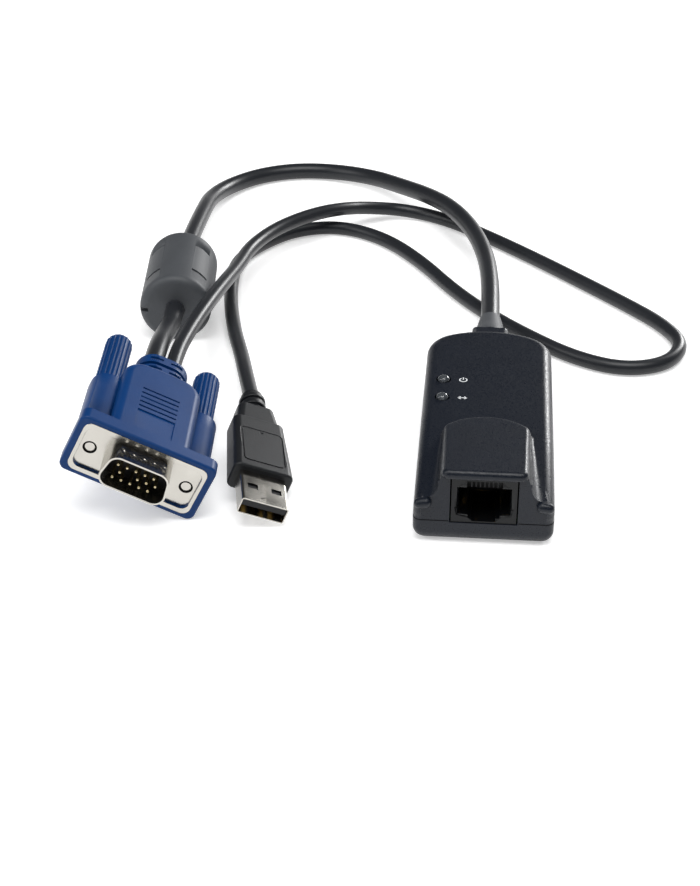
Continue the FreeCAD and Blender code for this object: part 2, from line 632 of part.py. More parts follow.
def make_jack_body():
    front = FACE_Y + JACK_RECESS
    base = BOARD_TOP_Z
    body = block(-JACK_WIDE / 2, JACK_WIDE / 2, front, front + JACK_DEEP, base, base + JACK_HIGH)
    low = base + SOCKET_FLOOR
    high = low + SOCKET_HIGH
    back = front + SOCKET_DEEP
    half = SOCKET_WIDE / 2
    body = body.cut(block(-half, half, front - 1, back, low, high))
    mouth = Part.makeLoft([
        Part.makePolygon([V(x * (half + grow), y, z) for x, z in
                          ((-1, low - grow / 2), (1, low - grow / 2), (1, high + grow / 2),
                           (-1, high + grow / 2), (-1, low - grow / 2))])
        for grow, y in ((SOCKET_LEAD_IN, front - 0.01), (0, front + 2 * SOCKET_LEAD_IN))], True, True)
    body = body.cut(mouth)
    for wide, floor in LATCH_STEPS:
        body = body.cut(block(-wide / 2, wide / 2, front - 1, back, base + floor, low + 1))
    comb_top = base + JACK_HIGH - COMB_ROOF
    body = body.cut(block(-COMB_WIDE / 2, COMB_WIDE / 2, front - 1, JACK_LEG_Y + 0.5,
                          high - 1, comb_top))
    body = body.cut(block(-COMB_WIDE / 2, COMB_WIDE / 2, JACK_LEG_Y - 0.4, JACK_LEG_Y + 0.4,
                          base - 1, comb_top))
    for i in range(1, CONTACT_COUNT):
        x = (i - CONTACT_COUNT / 2) * CONTACT_PITCH
        body = body.fuse(block(x - COMB_TOOTH / 2, x + COMB_TOOTH / 2, front + 0.3, front + 3.6,
                               high + 0.3, comb_top + 0.1))
    for side in (-1, 1):
        x = side * (half + 0.45)
        body = body.cut(block(x - 0.5, x + 0.5, front - 1, front + 1.5, low + 1.6, low + 1.85))
    return body.removeSplitter()


def corner_arcs(points, radius_at):
    """Wire of straight runs joined by tangent arcs; radius_at(i, shorter, turn) sets each arc."""
    points = [V(*p) for p in points]
    edges = []
    start = points[0]
    for i in range(1, len(points) - 1):
        back = points[i - 1] - points[i]
        ahead = points[i + 1] - points[i]
        turn = math.pi - back.getAngle(ahead)
        radius = radius_at(i, min(back.Length, ahead.Length), turn)
        cut = radius * math.tan(turn / 2)
        back.normalize()
        ahead.normalize()
        bisector = back + ahead
        bisector.normalize()
        enter = points[i] + back * cut
        leave = points[i] + ahead * cut
        middle = points[i] + bisector * (radius / math.cos(turn / 2) - radius)
        edges.append(Part.LineSegment(start, enter).toShape())
        edges.append(Part.Arc(enter, middle, leave).toShape())
        start = leave
    edges.append(Part.LineSegment(start, points[-1]).toShape())
    return Part.Wire(edges)


def strip(path, thick, x, wide):
    """Bent strip of even thickness across x, following (y, z) points down its middle."""
    sides = ([], [])
    for i, (y, z) in enumerate(path):
        here = V(x - wide / 2, y, z)
        before = V(x - wide / 2, *path[max(i - 1, 0)])
        after = V(x - wide / 2, *path[min(i + 1, len(path) - 1)])
        runs = [run.normalize() for run in (here - before, after - here) if run.Length > 0]
        across = [X_AXIS.cross(run) for run in runs]
        mitre = across[0] + across[-1]
        mitre.normalize()
        reach = mitre * (thick / 2 / mitre.dot(across[0]))
        sides[0].append(here + reach)
        sides[1].append(here - reach)
    outline = sides[0] + sides[1][::-1]
    return Part.Face(Part.makePolygon(outline + outline[:1])).extrude(V(wide, 0, 0))


def pipe(wire, radius):
    start = wire.Edges[0].valueAt(wire.Edges[0].FirstParameter)
    along = wire.Edges[0].tangentAt(wire.Edges[0].FirstParameter)
    section = Part.Wire(Part.Circle(start, along, radius).toShape())
    return wire.makePipeShell([section], True, True)


def make_jack_contacts():
    """Spring strips: from the board up the back, along the roof, round the comb and slanting
    back down into the plug cavity."""
    front = FACE_Y + JACK_RECESS
    roof = BOARD_TOP_Z + JACK_HIGH - COMB_ROOF - CONTACT_THICK / 2 - 0.08
    low = BOARD_TOP_Z + SOCKET_FLOOR
    path = [(JACK_LEG_Y, BOARD_TOP_Z), (JACK_LEG_Y, roof), (front + 4.3, roof), (front + 3.8, roof - 0.5),
            (front + 4.0, roof - 1.1), (front + 9.6, low + 4.9)]
    strips = []
    for i in range(CONTACT_COUNT):
        x = (i - (CONTACT_COUNT - 1) / 2) * CONTACT_PITCH
        strips.append(strip(path, CONTACT_THICK, x, CONTACT_WIDE))
    return Part.makeCompound(strips)


def make_lamp(y):
    top = DECK_Z + LAMP_PROUD
    base = top - LAMP_BODY_HIGH
    lamp = rod(LAMP_R, (LAMP_X, y, base), (LAMP_X, y, top - LAMP_R))
    lamp = lamp.fuse(Part.makeSphere(LAMP_R, V(LAMP_X, y, top - LAMP_R)))
    lamp = lamp.fuse(rod(LAMP_R + 0.35, (LAMP_X, y, base), (LAMP_X, y, base + 1)))
    for side in (-1, 1):
        leg_y = y + side * 1.0
        lamp = lamp.fuse(block(LAMP_X - 0.25, LAMP_X + 0.25, leg_y - 0.25, leg_y + 0.25,
                               BOARD_TOP_Z, base + 0.5))
    return lamp.removeSplitter()


# ---------------------------------------------------------------- cable exit and cables
def ring_profile(points, axis_z):
    """Solid turned about a line along Y at height axis_z, from (y, radius) points."""
    outline = [V(0, y, axis_z + r) for y, r in points]
    outline.append(outline[0])
    face = Part.Face(Part.makePolygon(outline))
    return face.revolve(V(0, 0, axis_z), Y_AXIS, 360)


def make_strain_relief():
    rear = REAR_Y + EXIT_BLOCK_OUT
    inner = REAR_Y - EXIT_BLOCK_IN
    tip = rear + BOOT_LONG
    flange_end = BOOT_FLANGE_Y + BOOT_FLANGE_THICK
    bore = MAIN_CABLE_R
    neck = BOOT_NECK_R
    boot = ring_profile([
        (inner, bore), (inner, neck), (BOOT_FLANGE_Y, neck), (BOOT_FLANGE_Y, BOOT_FLANGE_R),
        (flange_end, BOOT_FLANGE_R), (flange_end, neck), (rear + BOOT_GAP, neck),
        (rear + BOOT_GAP, BOOT_ROOT_R), (rear + 2, BOOT_ROOT_R - 0.15),
        (rear + 0.45 * BOOT_LONG, BOOT_MID_R), (tip, BOOT_TIP_R), (tip, bore)], EXIT_Z)
    return boot


def cord_radius(i, shorter, turn):
    return 0.45 * shorter / math.tan(turn / 2)


def make_cord(route, radius, name):
    wire = corner_arcs(route, cord_radius)
    cord = pipe(wire, radius)
    ideal = math.pi * radius ** 2 * wire.Length
    radii = [edge.Curve.Radius for edge in wire.Edges if hasattr(edge.Curve, "Radius")]
    print(name, "length", round(wire.Length, 1), "volume over ideal", round(cord.Volume / ideal, 4),
          "arc radii", [round(r, 1) for r in radii])
    return cord


def make_inner_wires():
    """Cores of the main cable between its jacket and the plug on the board."""
    end_y = MAIN_ROUTE[0][1]
    rods = [rod(CORE_WIRE_R, (x * 1.2, HEADER_BACK, EXIT_Z + z * 1.2), (x * 1.2, end_y, EXIT_Z + z * 1.2))
            for x in (-1.5, -0.5, 0.5, 1.5) for z in (-0.5, 0.5)]
    return Part.makeCompound(rods)


def place_ferrite(shape):
    shape.rotate(V(0, 0, 0), Z_AXIS, FERRITE_YAW)
    shape.translate(V(FERRITE_FRONT[0], FERRITE_FRONT[1], FERRITE_R))
    return shape


def ferrite_core_shape():
    start = (FERRITE_LONG - CORE_LONG) / 2
    core = rod(CORE_R, (0, start, 0), (0, start + CORE_LONG, 0))
    return core.cut(rod(CORE_BORE_R, (0, -1, 0), (0, FERRITE_LONG + 1, 0)))


def make_ferrite_overmould():
    form = rod(FERRITE_R, (0, 0, 0), (0, FERRITE_LONG, 0))
    form = fillet(form, FERRITE_RIM_R, lambda e: hasattr(e.Curve, "Radius"))
    for place in FERRITE_SLOT_PLACES:
        for angle in (FERRITE_SLOT_ANGLE, 180 - FERRITE_SLOT_ANGLE, 180 + FERRITE_SLOT_ANGLE,
                      -FERRITE_SLOT_ANGLE):
            slot = block(-FERRITE_SLOT_LONG / 2, FERRITE_SLOT_LONG / 2, place - FERRITE_SLOT_WIDE / 2,
                         place + FERRITE_SLOT_WIDE / 2, FERRITE_R - FERRITE_SLOT_DEEP, FERRITE_R + 1)
            slot.rotate(V(0, 0, 0), Y_AXIS, angle)
            form = form.cut(slot)
    form = form.cut(block(-FERRITE_R - 1, -FERRITE_R + 2.4, -1, 1.6, -0.6, 0.6))
    form = form.cut(ferrite_core_shape())
    return place_ferrite(form.cut(rod(MAIN_CABLE_R, (0, -1, 0), (0, FERRITE_LONG + 1, 0))))


# ---------------------------------------------------------------- video plug
def lay_down(shape, pose):
    """Put a plug that was made in its own frame where it lies."""
    shape = shape.copy()
    shape.rotate(V(0, 0, 0), Y_AXIS, pose["roll"])
    shape.rotate(V(0, 0, 0), X_AXIS, pose["pitch"])
    shape.rotate(V(0, 0, 0), Z_AXIS, pose["yaw"])
    shape.translate(V(*pose["at"]))
    return shape


def d_wire(grow, y):
    """D outline, wide side down, with round corners: the inside of the shroud grown by grow."""
    h = SHROUD_HIGH / 2 + grow
    lean = math.tan(math.radians(SHROUD_SLOPE))
    low = SHROUD_WIDE / 2 + grow / math.cos(math.radians(SHROUD_SLOPE)) + grow * lean
    high = low - 2 * h * lean
    corners = [V(-low, y, -h), V(low, y, -h), V(high, y, h), V(-high, y, h)]
    radius = SHROUD_CORNER_R + grow
    edges = []
    ends = []
    for i, corner in enumerate(corners):
        back = corners[i - 1] - corner
        ahead = corners[(i + 1) % 4] - corner
        half_turn = (math.pi - back.getAngle(ahead)) / 2
        back.normalize()
        ahead.normalize()
        cut = radius * math.tan(half_turn)
        bisector = back + ahead
        bisector.normalize()
        middle = corner + bisector * (radius / math.cos(half_turn) - radius)
        ends.append((corner + back * cut, middle, corner + ahead * cut))
    for i, (enter, middle, leave) in enumerate(ends):
        edges.append(Part.Arc(enter, middle, leave).toShape())
        edges.append(Part.LineSegment(leave, ends[(i + 1) % 4][0]).toShape())
    return Part.Wire(edges)


def d_prism(grow, y0, y1):
    return Part.Face(d_wire(grow, y0)).extrude(V(0, y1 - y0, 0))


def make_video_front_shell():
    plate = slab(FLANGE_WIDE, FLANGE_HIGH, FLANGE_CORNER_R, 0, FLANGE_THICK)
    shroud = d_prism(SHROUD_WALL, -SHROUD_OUT, FLANGE_THICK)
    shell = plate.fuse(shroud)
    shell = shell.cut(d_prism(0, -SHROUD_OUT - 1, FLANGE_THICK + 1))
    for side in (-1, 1):
        x = side * JACKSCREW_X
        shell = shell.cut(rod(FLANGE_HOLE_R, (x, -1, 0), (x, FLANGE_THICK + 1, 0)))
    for i in range(DIMPLE_COUNT):
        x = (i - (DIMPLE_COUNT - 1) / 2) * DIMPLE_PITCH
        top = SHROUD_HIGH / 2 + SHROUD_WALL
        dent = Part.makeSphere(DIMPLE_R, V(x, -SHROUD_OUT / 2, top + DIMPLE_R - DIMPLE_DEEP))
        shell = shell.cut(dent)
    return shell.removeSplitter()


def make_video_rear_shell():
    back = FLANGE_THICK + REAR_PLATE_THICK
    shell = slab(FLANGE_WIDE, FLANGE_HIGH, FLANGE_CORNER_R, FLANGE_THICK, back)
    shell = shell.fuse(slab(INSULATOR_WIDE + 1, INSULATOR_HIGH + 1, 1.5, back, REAR_SKIRT_BACK))
    shell = shell.cut(slab(INSULATOR_WIDE, INSULATOR_HIGH, 1.0, 0, REAR_SKIRT_BACK + 1))
    for side in (-1, 1):
        x = side * JACKSCREW_X
        shell = shell.cut(rod(FLANGE_HOLE_R, (x, -1, 0), (x, back + 1, 0)))
    return shell.removeSplitter()


def pin_places():
    """Three rows of the high-density pattern. The plug lies with its first row down, and the
    second place from the left in the middle row is empty, as on every such plug."""
    outer = [(i - 2) * PIN_PITCH - PIN_PITCH / 4 for i in range(5)]
    middle = [(i - 2) * PIN_PITCH + PIN_PITCH / 4 for i in range(5)]
    places = [(x, PIN_ROW) for x in outer]
    places += [(x, 0) for i, x in enumerate(middle) if i != 1]
    places += [(x, -PIN_ROW) for x in outer]
    return places


def make_video_pins():
    pins = []
    for x, z in pin_places():
        shank = rod(PIN_R, (x, -PIN_OUT + PIN_R, z), (x, PIN_BACK, z))
        pins.append(shank.fuse(Part.makeSphere(PIN_R, V(x, -PIN_OUT + PIN_R, z))).removeSplitter())
    return Part.makeCompound(pins)


def make_video_insulator(pins):
    block_front = d_prism(-FIT_GAP, -0.3, FLANGE_THICK)
    rear = slab(INSULATOR_WIDE, INSULATOR_HIGH, 1.0, FLANGE_THICK, REAR_SKIRT_BACK + 1.5)
    return block_front.fuse(rear).cut(pins).removeSplitter()


def make_video_hood():
    frame = slab(FRAME_WIDE, FRAME_HIGH, FRAME_CORNER_R, -FRAME_OUT, FRAME_BACK)
    frame = fillet(frame, FRAME_EDGE_R, lambda e: e.BoundBox.YMax < -FRAME_OUT + 0.01)
    outline = plan_wire(GRIP_BODY_HALF, FRAME_BACK - 1, GRIP_BODY_BACK, 0.5, GRIP_BODY_CORNER_R, 60,
                        -GRIP_BODY_HIGH / 2)
    body = Part.Face(outline).extrude(V(0, 0, GRIP_BODY_HIGH))
    body = fillet(body, GRIP_BODY_EDGE_R,
                  lambda e: e.BoundBox.ZLength < 0.01 and e.BoundBox.YMax > FRAME_BACK)
    hood = frame.fuse(body)
    for side in (-1, 1):
        channel = slab(CHANNEL_WIDE, CHANNEL_HIGH, CHANNEL_CORNER_R, FRAME_BACK - 1, CHANNEL_BACK)
        channel.translate(V(side * (JACKSCREW_X - 0.1), 0, 0))
        hood = hood.fuse(channel)
    ring_low = GRIP_BODY_BACK - 1
    hood = hood.fuse(slab(COLLAR_WIDE - 2 * COLLAR_STEP, COLLAR_HIGH - 2 * COLLAR_STEP,
                          COLLAR_HIGH / 2 - COLLAR_STEP - 0.1, ring_low, COLLAR_BACK))
    for start, end in COLLAR_RINGS:
        ring = slab(COLLAR_WIDE, COLLAR_HIGH, COLLAR_HIGH / 2 - 0.1, start, end)
        for x0, x1 in COLLAR_SLOTS:
            ring = ring.cut(block(x0, x1, (start + end) / 2 - 0.4, (start + end) / 2 + 0.4,
                                  COLLAR_HIGH / 2 - COLLAR_STEP, COLLAR_HIGH))
        hood = hood.fuse(ring)
    for i in range(GROOVE_COUNT):
        y = GROOVE_FRONT + i * GROOVE_PITCH
        hood = hood.cut(block(-GROOVE_HALF, GROOVE_HALF, y - 0.3, y + 0.3,
                              GRIP_BODY_HIGH / 2 - GROOVE_DEEP, GRIP_BODY_HIGH))
    hood = hood.cut(block(-GROOVE_HALF, GROOVE_HALF, PANEL_FRONT, PANEL_BACK,
                          GRIP_BODY_HIGH / 2 - PANEL_DEEP, GRIP_BODY_HIGH))
    hood = hood.cut(slab(FLANGE_WIDE, FLANGE_HIGH, FLANGE_CORNER_R, 0, FLANGE_THICK + REAR_PLATE_THICK))
    hood = hood.cut(slab(FLANGE_WIDE - 2 * FLANGE_COVER, FLANGE_HIGH - 2 * FLANGE_COVER,
                         FLANGE_CORNER_R - FLANGE_COVER, -FRAME_OUT - 1, 0.1))
    hood = hood.cut(slab(INSULATOR_WIDE + 1, INSULATOR_HIGH + 1, 1.5, 0, REAR_SKIRT_BACK))
    hood = hood.cut(slab(INSULATOR_WIDE, INSULATOR_HIGH, 1.0, 0, REAR_SKIRT_BACK + 1.5))
    for x, z in pin_places():
        hood = hood.cut(rod(PIN_R, (x, 0, z), (x, PIN_BACK, z)))
    for side in (-1, 1):
        x = side * JACKSCREW_X
        hood = hood.cut(rod(FLANGE_HOLE_R, (x, -1, 0), (x, STEM_FRONT + 1, 0)))
        hood = hood.cut(rod(STEM_R + STEM_GAP, (x, STEM_FRONT - THRUST_GAP, 0), (x, CHANNEL_BACK + 1, 0)))
        hood = hood.cut(rod(GRIP_R + GRIP_GAP, (x, GRIP_FRONT - THRUST_GAP, 0), (x, GRIP_BACK, 0)))
    return hood.removeSplitter()


def make_thumbscrew(side):
    """Knob and threaded shank of one thumbscrew, on the axis x = side * JACKSCREW_X."""
    x = side * JACKSCREW_X
    knob = rod(STEM_R, (x, STEM_FRONT, 0), (x, GRIP_FRONT + 1, 0))
    grip = rod(GRIP_R, (x, GRIP_FRONT, 0), (x, GRIP_BACK, 0))
    grip = fillet(grip, GRIP_END_R,
                  lambda e: hasattr(e.Curve, "Radius") and e.BoundBox.YMin > GRIP_BACK - 0.1)
    for i in range(GRIP_FLUTES):
        angle = 2 * math.pi * i / GRIP_FLUTES
        gx = x + GRIP_R * math.cos(angle)
        gz = GRIP_R * math.sin(angle)
        grip = grip.cut(rod(FLUTE_R, (gx, GRIP_FRONT + 1.2, gz), (gx, GRIP_BACK + 1, gz)))
    grip = grip.cut(block(x - GRIP_R, x + GRIP_R, GRIP_BACK - 1.2, GRIP_BACK + 1, -0.45, 0.45))
    knob = knob.fuse(grip)
    shank_end = STEM_FRONT + SHANK_HOLD
    shank = rod(SHANK_R, (x, SHANK_FRONT, 0), (x, shank_end, 0))
    knob = knob.cut(shank).removeSplitter()
    return knob, fillet(shank, 0.35, lambda e: e.BoundBox.YMax < SHANK_FRONT + 0.01)


# ---------------------------------------------------------------- USB plug
def make_usb_shell():
    shell = slab(USB_WIDE, USB_HIGH, USB_CORNER_R, 0, USB_SHELL_LONG)
    shell = shell.cut(slab(USB_WIDE - 2 * USB_WALL, USB_HIGH - 2 * USB_WALL,
                           USB_CORNER_R - USB_WALL, -1, USB_SHELL_LONG + 1))
    for x in (-USB_WINDOW_X, USB_WINDOW_X):
        for z in (-USB_HIGH / 2, USB_HIGH / 2):
            shell = shell.cut(block(x - USB_WINDOW_WIDE / 2, x + USB_WINDOW_WIDE / 2,
                                    USB_WINDOW_Y - 1, USB_WINDOW_Y + 1, z - 0.5, z + 0.5))
    top = USB_HIGH / 2
    for (x0, y0), (x1, y1) in zip(USB_SEAM, USB_SEAM[1:]):
        g = USB_SEAM_WIDE / 2
        shell = shell.cut(block(min(x0, x1) - g, max(x0, x1) + g, min(y0, y1) - g, max(y0, y1) + g,
                                top - USB_SEAM_DEEP, top + 1))
    return shell.removeSplitter()


def make_usb_tongue():
    top = USB_HIGH / 2 - USB_WALL - FIT_GAP
    half = USB_WIDE / 2 - USB_WALL - FIT_GAP
    tongue = block(-half, half, USB_TONGUE_FRONT, USB_OUT + 1, top - USB_TONGUE_THICK, top)
    rear = slab(2 * half, 2 * top, USB_CORNER_R - USB_WALL, USB_OUT + 1, USB_SHELL_LONG)
    return tongue.fuse(rear).removeSplitter()


def make_usb_contacts():
    """Four blades on the underside of the tongue. The two outer ones reach further forward."""
    z = USB_HIGH / 2 - USB_WALL - FIT_GAP - USB_TONGUE_THICK
    blades = []
    for x, front in ((-3.5, 1.2), (-1.0, 2.2), (1.0, 2.2), (3.5, 1.2)):
        blades.append(block(x - 0.5, x + 0.5, front, USB_OUT + 1, z - 0.2, z))
    return Part.makeCompound(blades)


def make_usb_overmould():
    block_shape = Part.makeLoft([
        rounded_rect(USB_BLOCK_WIDE, USB_BLOCK_HIGH, USB_BLOCK_R, USB_OUT),
        rounded_rect(USB_BLOCK_WIDE - USB_BLOCK_TAPER, USB_BLOCK_HIGH - 0.3, USB_BLOCK_R, USB_BLOCK_BACK)],
        True, True)
    block_shape = fillet(block_shape, USB_RIM_R, lambda e: e.BoundBox.YLength < 0.01)
    neck = Part.makeLoft([
        rounded_rect(USB_NECK_WIDE + 1.2, USB_NECK_HIGH, USB_BLOCK_R, USB_BLOCK_BACK - 1),
        rounded_rect(USB_NECK_WIDE - 1.0, USB_NECK_HIGH - 0.6, USB_BLOCK_R, USB_NECK_BACK)], True, True)
    neck = fillet(neck, USB_RIM_R, lambda e: e.BoundBox.YMin > USB_NECK_BACK - 0.01)
    form = block_shape.fuse(neck)
    form = form.fuse(rod(USB_RING_R - 0.6, (0, USB_NECK_BACK - 1, 0), (0, USB_BACK, 0)))
    for start, end in USB_RINGS:
        ring = rod(USB_RING_R, (0, start, 0), (0, end, 0))
        form = form.fuse(fillet(ring, 0.35, lambda e: hasattr(e.Curve, "Radius")))
    top = USB_BLOCK_HIGH / 2
    outer = block(-USB_PANEL_WIDE / 2, USB_PANEL_WIDE / 2, USB_PANEL_FRONT, USB_PANEL_BACK,
                  top - USB_PANEL_DEEP, top + 1)
    outer = fillet(outer, 1.4, lambda e: e.BoundBox.ZLength > 0.5)
    inner = block(-USB_PANEL_WIDE / 2 + 0.5, USB_PANEL_WIDE / 2 - 0.5, USB_PANEL_FRONT + 0.5,
                  USB_PANEL_BACK - 0.5, top - 1, top + 2)
    inner = fillet(inner, 0.9, lambda e: e.BoundBox.ZLength > 0.5)
    form = form.cut(outer.cut(inner))
    form = form.cut(Part.makeSphere(0.6, V(0, USB_PANEL_BACK - 1.2, top + 0.2)))
    return form.cut(slab(USB_WIDE, USB_HIGH, USB_CORNER_R, USB_OUT - 1, USB_SHELL_LONG)).removeSplitter()


# ---------------------------------------------------------------- the whole assembly
def make_parts():
    parts = {}
    parts["top_shell"] = make_top_shell()
    parts["bottom_shell"] = make_bottom_shell()
    parts["housing_screws"] = make_housing_screws()
    parts["circuit_board"] = make_circuit_board()
    parts["jack_body"] = make_jack_body()
    parts["jack_contacts"] = make_jack_contacts()
    for name, y in LAMP_PLACES.items():
        parts[name] = make_lamp(y)
    for name, place in CHIP_PLACES.items():
        parts[name] = on_board(*place)
    parts["board_capacitors"] = Part.makeCompound(
        [on_board(x, y, 3.2, 1.6, 1.3) for x, y in CAPACITOR_PLACES])
    header_mid = (HEADER_FRONT + HEADER_BACK) / 2
    header_deep = HEADER_BACK - HEADER_FRONT
    parts["board_header"] = on_board(0, header_mid, HEADER_WIDE, header_deep, HEADER_HIGH)
    plug = on_board(0, header_mid, HEADER_WIDE - 0.8, header_deep, HEADER_PLUG_HIGH)
    plug.translate(V(0, 0, HEADER_HIGH))
    parts["header_plug"] = plug
    parts["inner_wires"] = make_inner_wires()
    parts["strain_relief"] = make_strain_relief()
    parts["main_cable"] = make_cord(MAIN_ROUTE, MAIN_CABLE_R, "main_cable")
    parts["usb_cable"] = make_cord(USB_ROUTE, USB_CABLE_R, "usb_cable")
    parts["ferrite_overmould"] = make_ferrite_overmould()
    parts["ferrite_core"] = place_ferrite(ferrite_core_shape())

    video = {"video_front_shell": make_video_front_shell(),
             "video_rear_shell": make_video_rear_shell(),
             "video_pins": make_video_pins(),
             "video_hood": make_video_hood()}
    video["video_insulator"] = make_video_insulator(video["video_pins"])
    for name, side in (("left", -1), ("right", 1)):
        knob, shank = make_thumbscrew(side)
        video[name + "_thumbscrew_knob"] = knob
        video[name + "_thumbscrew_shank"] = shank
    for name, shape in video.items():
        parts[name] = lay_down(shape, VIDEO_POSE)

    usb = {"usb_shell": make_usb_shell(), "usb_tongue": make_usb_tongue(),
           "usb_contacts": make_usb_contacts(), "usb_overmould": make_usb_overmould()}
    for name, shape in usb.items():
        parts[name] = lay_down(shape, USB_POSE)
    return parts


for part_name, part_shape in make_parts().items():
    part_shape.exportStep("parts/" + part_name + ".step")
    box = part_shape.BoundBox
    print(part_name, "solids", len(part_shape.Solids), "valid", part_shape.isValid(),
          "lowest", round(box.ZMin, 3), "volume", round(part_shape.Volume, 1))
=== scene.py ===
# %% [markdown]
# # A server interface module with its video and USB leads
# The real object is a small moulded box with a network jack in its nose. One cable leaves its
# tail, passes through a ferrite and ends in a blue video plug. A thinner cable leaves that same
# plug and ends in a USB plug. The hard shapes come from the CAD frame, in metres. This file adds
# the cables' smooth lines, the small surface detail, the materials, the light and the camera.

import json
import math

import bmesh
import bpy
import numpy as np
from mathutils import Matrix
from mathutils.geometry import convex_hull_2d


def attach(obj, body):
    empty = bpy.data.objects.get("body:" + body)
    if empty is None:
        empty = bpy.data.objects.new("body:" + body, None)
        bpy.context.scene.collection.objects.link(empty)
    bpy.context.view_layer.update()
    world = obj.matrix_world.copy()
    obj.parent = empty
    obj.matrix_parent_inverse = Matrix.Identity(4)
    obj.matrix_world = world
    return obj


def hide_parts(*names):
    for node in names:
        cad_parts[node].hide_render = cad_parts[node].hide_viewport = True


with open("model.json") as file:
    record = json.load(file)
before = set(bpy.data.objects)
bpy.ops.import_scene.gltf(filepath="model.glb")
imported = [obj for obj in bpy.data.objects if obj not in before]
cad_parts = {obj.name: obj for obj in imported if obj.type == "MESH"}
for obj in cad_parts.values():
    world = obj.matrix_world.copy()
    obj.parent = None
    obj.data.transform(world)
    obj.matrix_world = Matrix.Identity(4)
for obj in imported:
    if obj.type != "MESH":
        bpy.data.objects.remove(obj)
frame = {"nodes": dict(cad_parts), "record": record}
scene = bpy.context.scene
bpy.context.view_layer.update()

# %% [markdown]
# ## Camera
# The object is seen from above its front, with the lens about 0.4 m away, so the near plugs
# look larger than the far loops. The long side of the sensor follows the height of the render.

# %% The camera
CAMERA_PLACE = (-0.00216, -0.39326, 0.24145)
CAMERA_TILT = 59.0
CAMERA_TURN = 4.74
LENS_MM = 72.86
camera_data = bpy.data.cameras.new("product_camera")
camera = bpy.data.objects.new("product_camera", camera_data)
scene.collection.objects.link(camera)
camera.location = CAMERA_PLACE
camera.rotation_euler = (math.radians(CAMERA_TILT), 0.0, math.radians(CAMERA_TURN))
camera_data.lens = LENS_MM
camera_data.sensor_width = 36.0
camera_data.clip_start = 0.01
camera_data.clip_end = 20.0
scene.camera = camera
print("camera at", tuple(round(v, 3) for v in camera.location), "lens", LENS_MM, "mm")

# %% [markdown]
# ## Cables
# A cable is a fixed length of something springy, so it never has a corner. A NURBS spline of
# order 3 pulled by a list of route points gives such a line, and its round bevel gives the
# jacket. The points repeat the route that the CAD tubes follow. The order and the end setting
# come after the points, because a new point resets them.

# %% Cable routes, in millimetres from the frame's origin
MAIN_ROUTE = [
    (0.0, 38.7, 10.6), (0.0, 64.0, 10.6), (-0.4, 86.0, 10.5), (-2.2, 105.0, 10.1),
    (-6.3, 123.0, 9.9), (-13.1, 139.0, 9.9), (-21.1, 151.5, 8.6), (-31.0, 164.5, 6.2),
    (-41.1, 176.6, 4.0), (-53.8, 183.4, 2.8), (-67.5, 184.1, 2.65), (-80.0, 178.8, 2.65),
    (-89.1, 168.4, 3.0), (-93.6, 153.3, 5.0), (-93.4, 135.0, 8.0), (-93.46, 101.54, 10.2),
    (-89.28, 53.72, 10.2), (-88.4, 37.5, 14.6), (-87.83, 22.0, 18.3), (-87.3, 9.97, 17.82)]
USB_ROUTE = [
    (-82.65, 10.27, 15.53), (-83.16, 22.0, 16.04), (-81.7, 36.0, 16.3), (-79.4, 52.0, 16.1),
    (-77.3, 68.2, 14.6), (-75.3, 85.1, 12.2), (-74.0, 102.7, 10.6), (-68.0, 118.6, 9.9),
    (-58.9, 130.0, 9.7), (-50.2, 137.6, 9.0), (-41.2, 148.3, 5.2), (-28.7, 153.9, 2.3),
    (-15.0, 147.7, 2.1), (-0.4, 134.2, 2.1), (14.2, 119.1, 2.1), (27.6, 104.3, 2.1),
    (40.5, 89.7, 2.1), (49.9, 78.1, 2.1), (55.3, 65.9, 2.1), (50.0, 53.7, 2.1),
    (37.4, 49.5, 2.1), (24.1, 55.3, 2.1), (11.9, 66.4, 2.1), (0.0, 79.4, 2.1),
    (-11.1, 95.0, 2.1), (-22.0, 114.8, 2.1), (-34.2, 131.0, 2.1), (-48.8, 139.4, 2.1),
    (-62.8, 136.0, 2.1), (-73.2, 124.4, 2.1), (-79.5, 110.4, 2.1), (-78.8, 93.7, 2.1),
    (-76.5, 77.5, 2.1), (-73.0, 61.0, 2.6), (-68.9, 45.0, 4.4), (-65.6, 29.5, 6.9),
    (-61.95, 14.19, 8.07)]
MM = 0.001


def cable(name, route, diameter):
    """Round cable: a quadratic NURBS line drawn towards each route point in turn, with a circle
    carried along it. The circle's radius is the bevel depth times the point's radius, so a depth
    of 1 lets each point hold the real radius."""
    curve = bpy.data.curves.new(name, "CURVE")
    curve.dimensions = "3D"
    line = curve.splines.new("NURBS")
    line.points.add(len(route) - 1)
    for point, place in zip(line.points, route):
        point.co = (place[0] * MM, place[1] * MM, place[2] * MM, 1.0)
        point.radius = diameter / 2
    line.order_u = 3
    line.use_endpoint_u = True
    line.resolution_u = 14
    curve.bevel_depth = 1.0
    curve.bevel_resolution = 7
    curve.use_fill_caps = True
    obj = bpy.data.objects.new(name, curve)
    scene.collection.objects.link(obj)
    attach(obj, "module")
    return obj


main_lead = cable("main_lead", MAIN_ROUTE, 0.0053)
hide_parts("main_cable")
usb_lead = cable("usb_lead", USB_ROUTE, 0.0042)
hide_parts("usb_cable")
print("cables:", len(MAIN_ROUTE), "and", len(USB_ROUTE), "route points")

# %% [markdown]
# ## Area that a mesh is drawn with
# A face with many corners is drawn as triangles. The sum of their areas tells whether a mesh
# still covers the same surface after its faces have been merged.

# %% Drawn area


def drawn_area(mesh):
    """Sum of the areas of the triangles that the mesh is drawn with."""
    mesh.calc_loop_triangles()
    areas = np.empty(len(mesh.loop_triangles))
    mesh.loop_triangles.foreach_get("area", areas)
    return float(areas.sum())


print("drawn area of the top shell:", round(drawn_area(frame["nodes"]["top_shell"].data), 5), "m2")

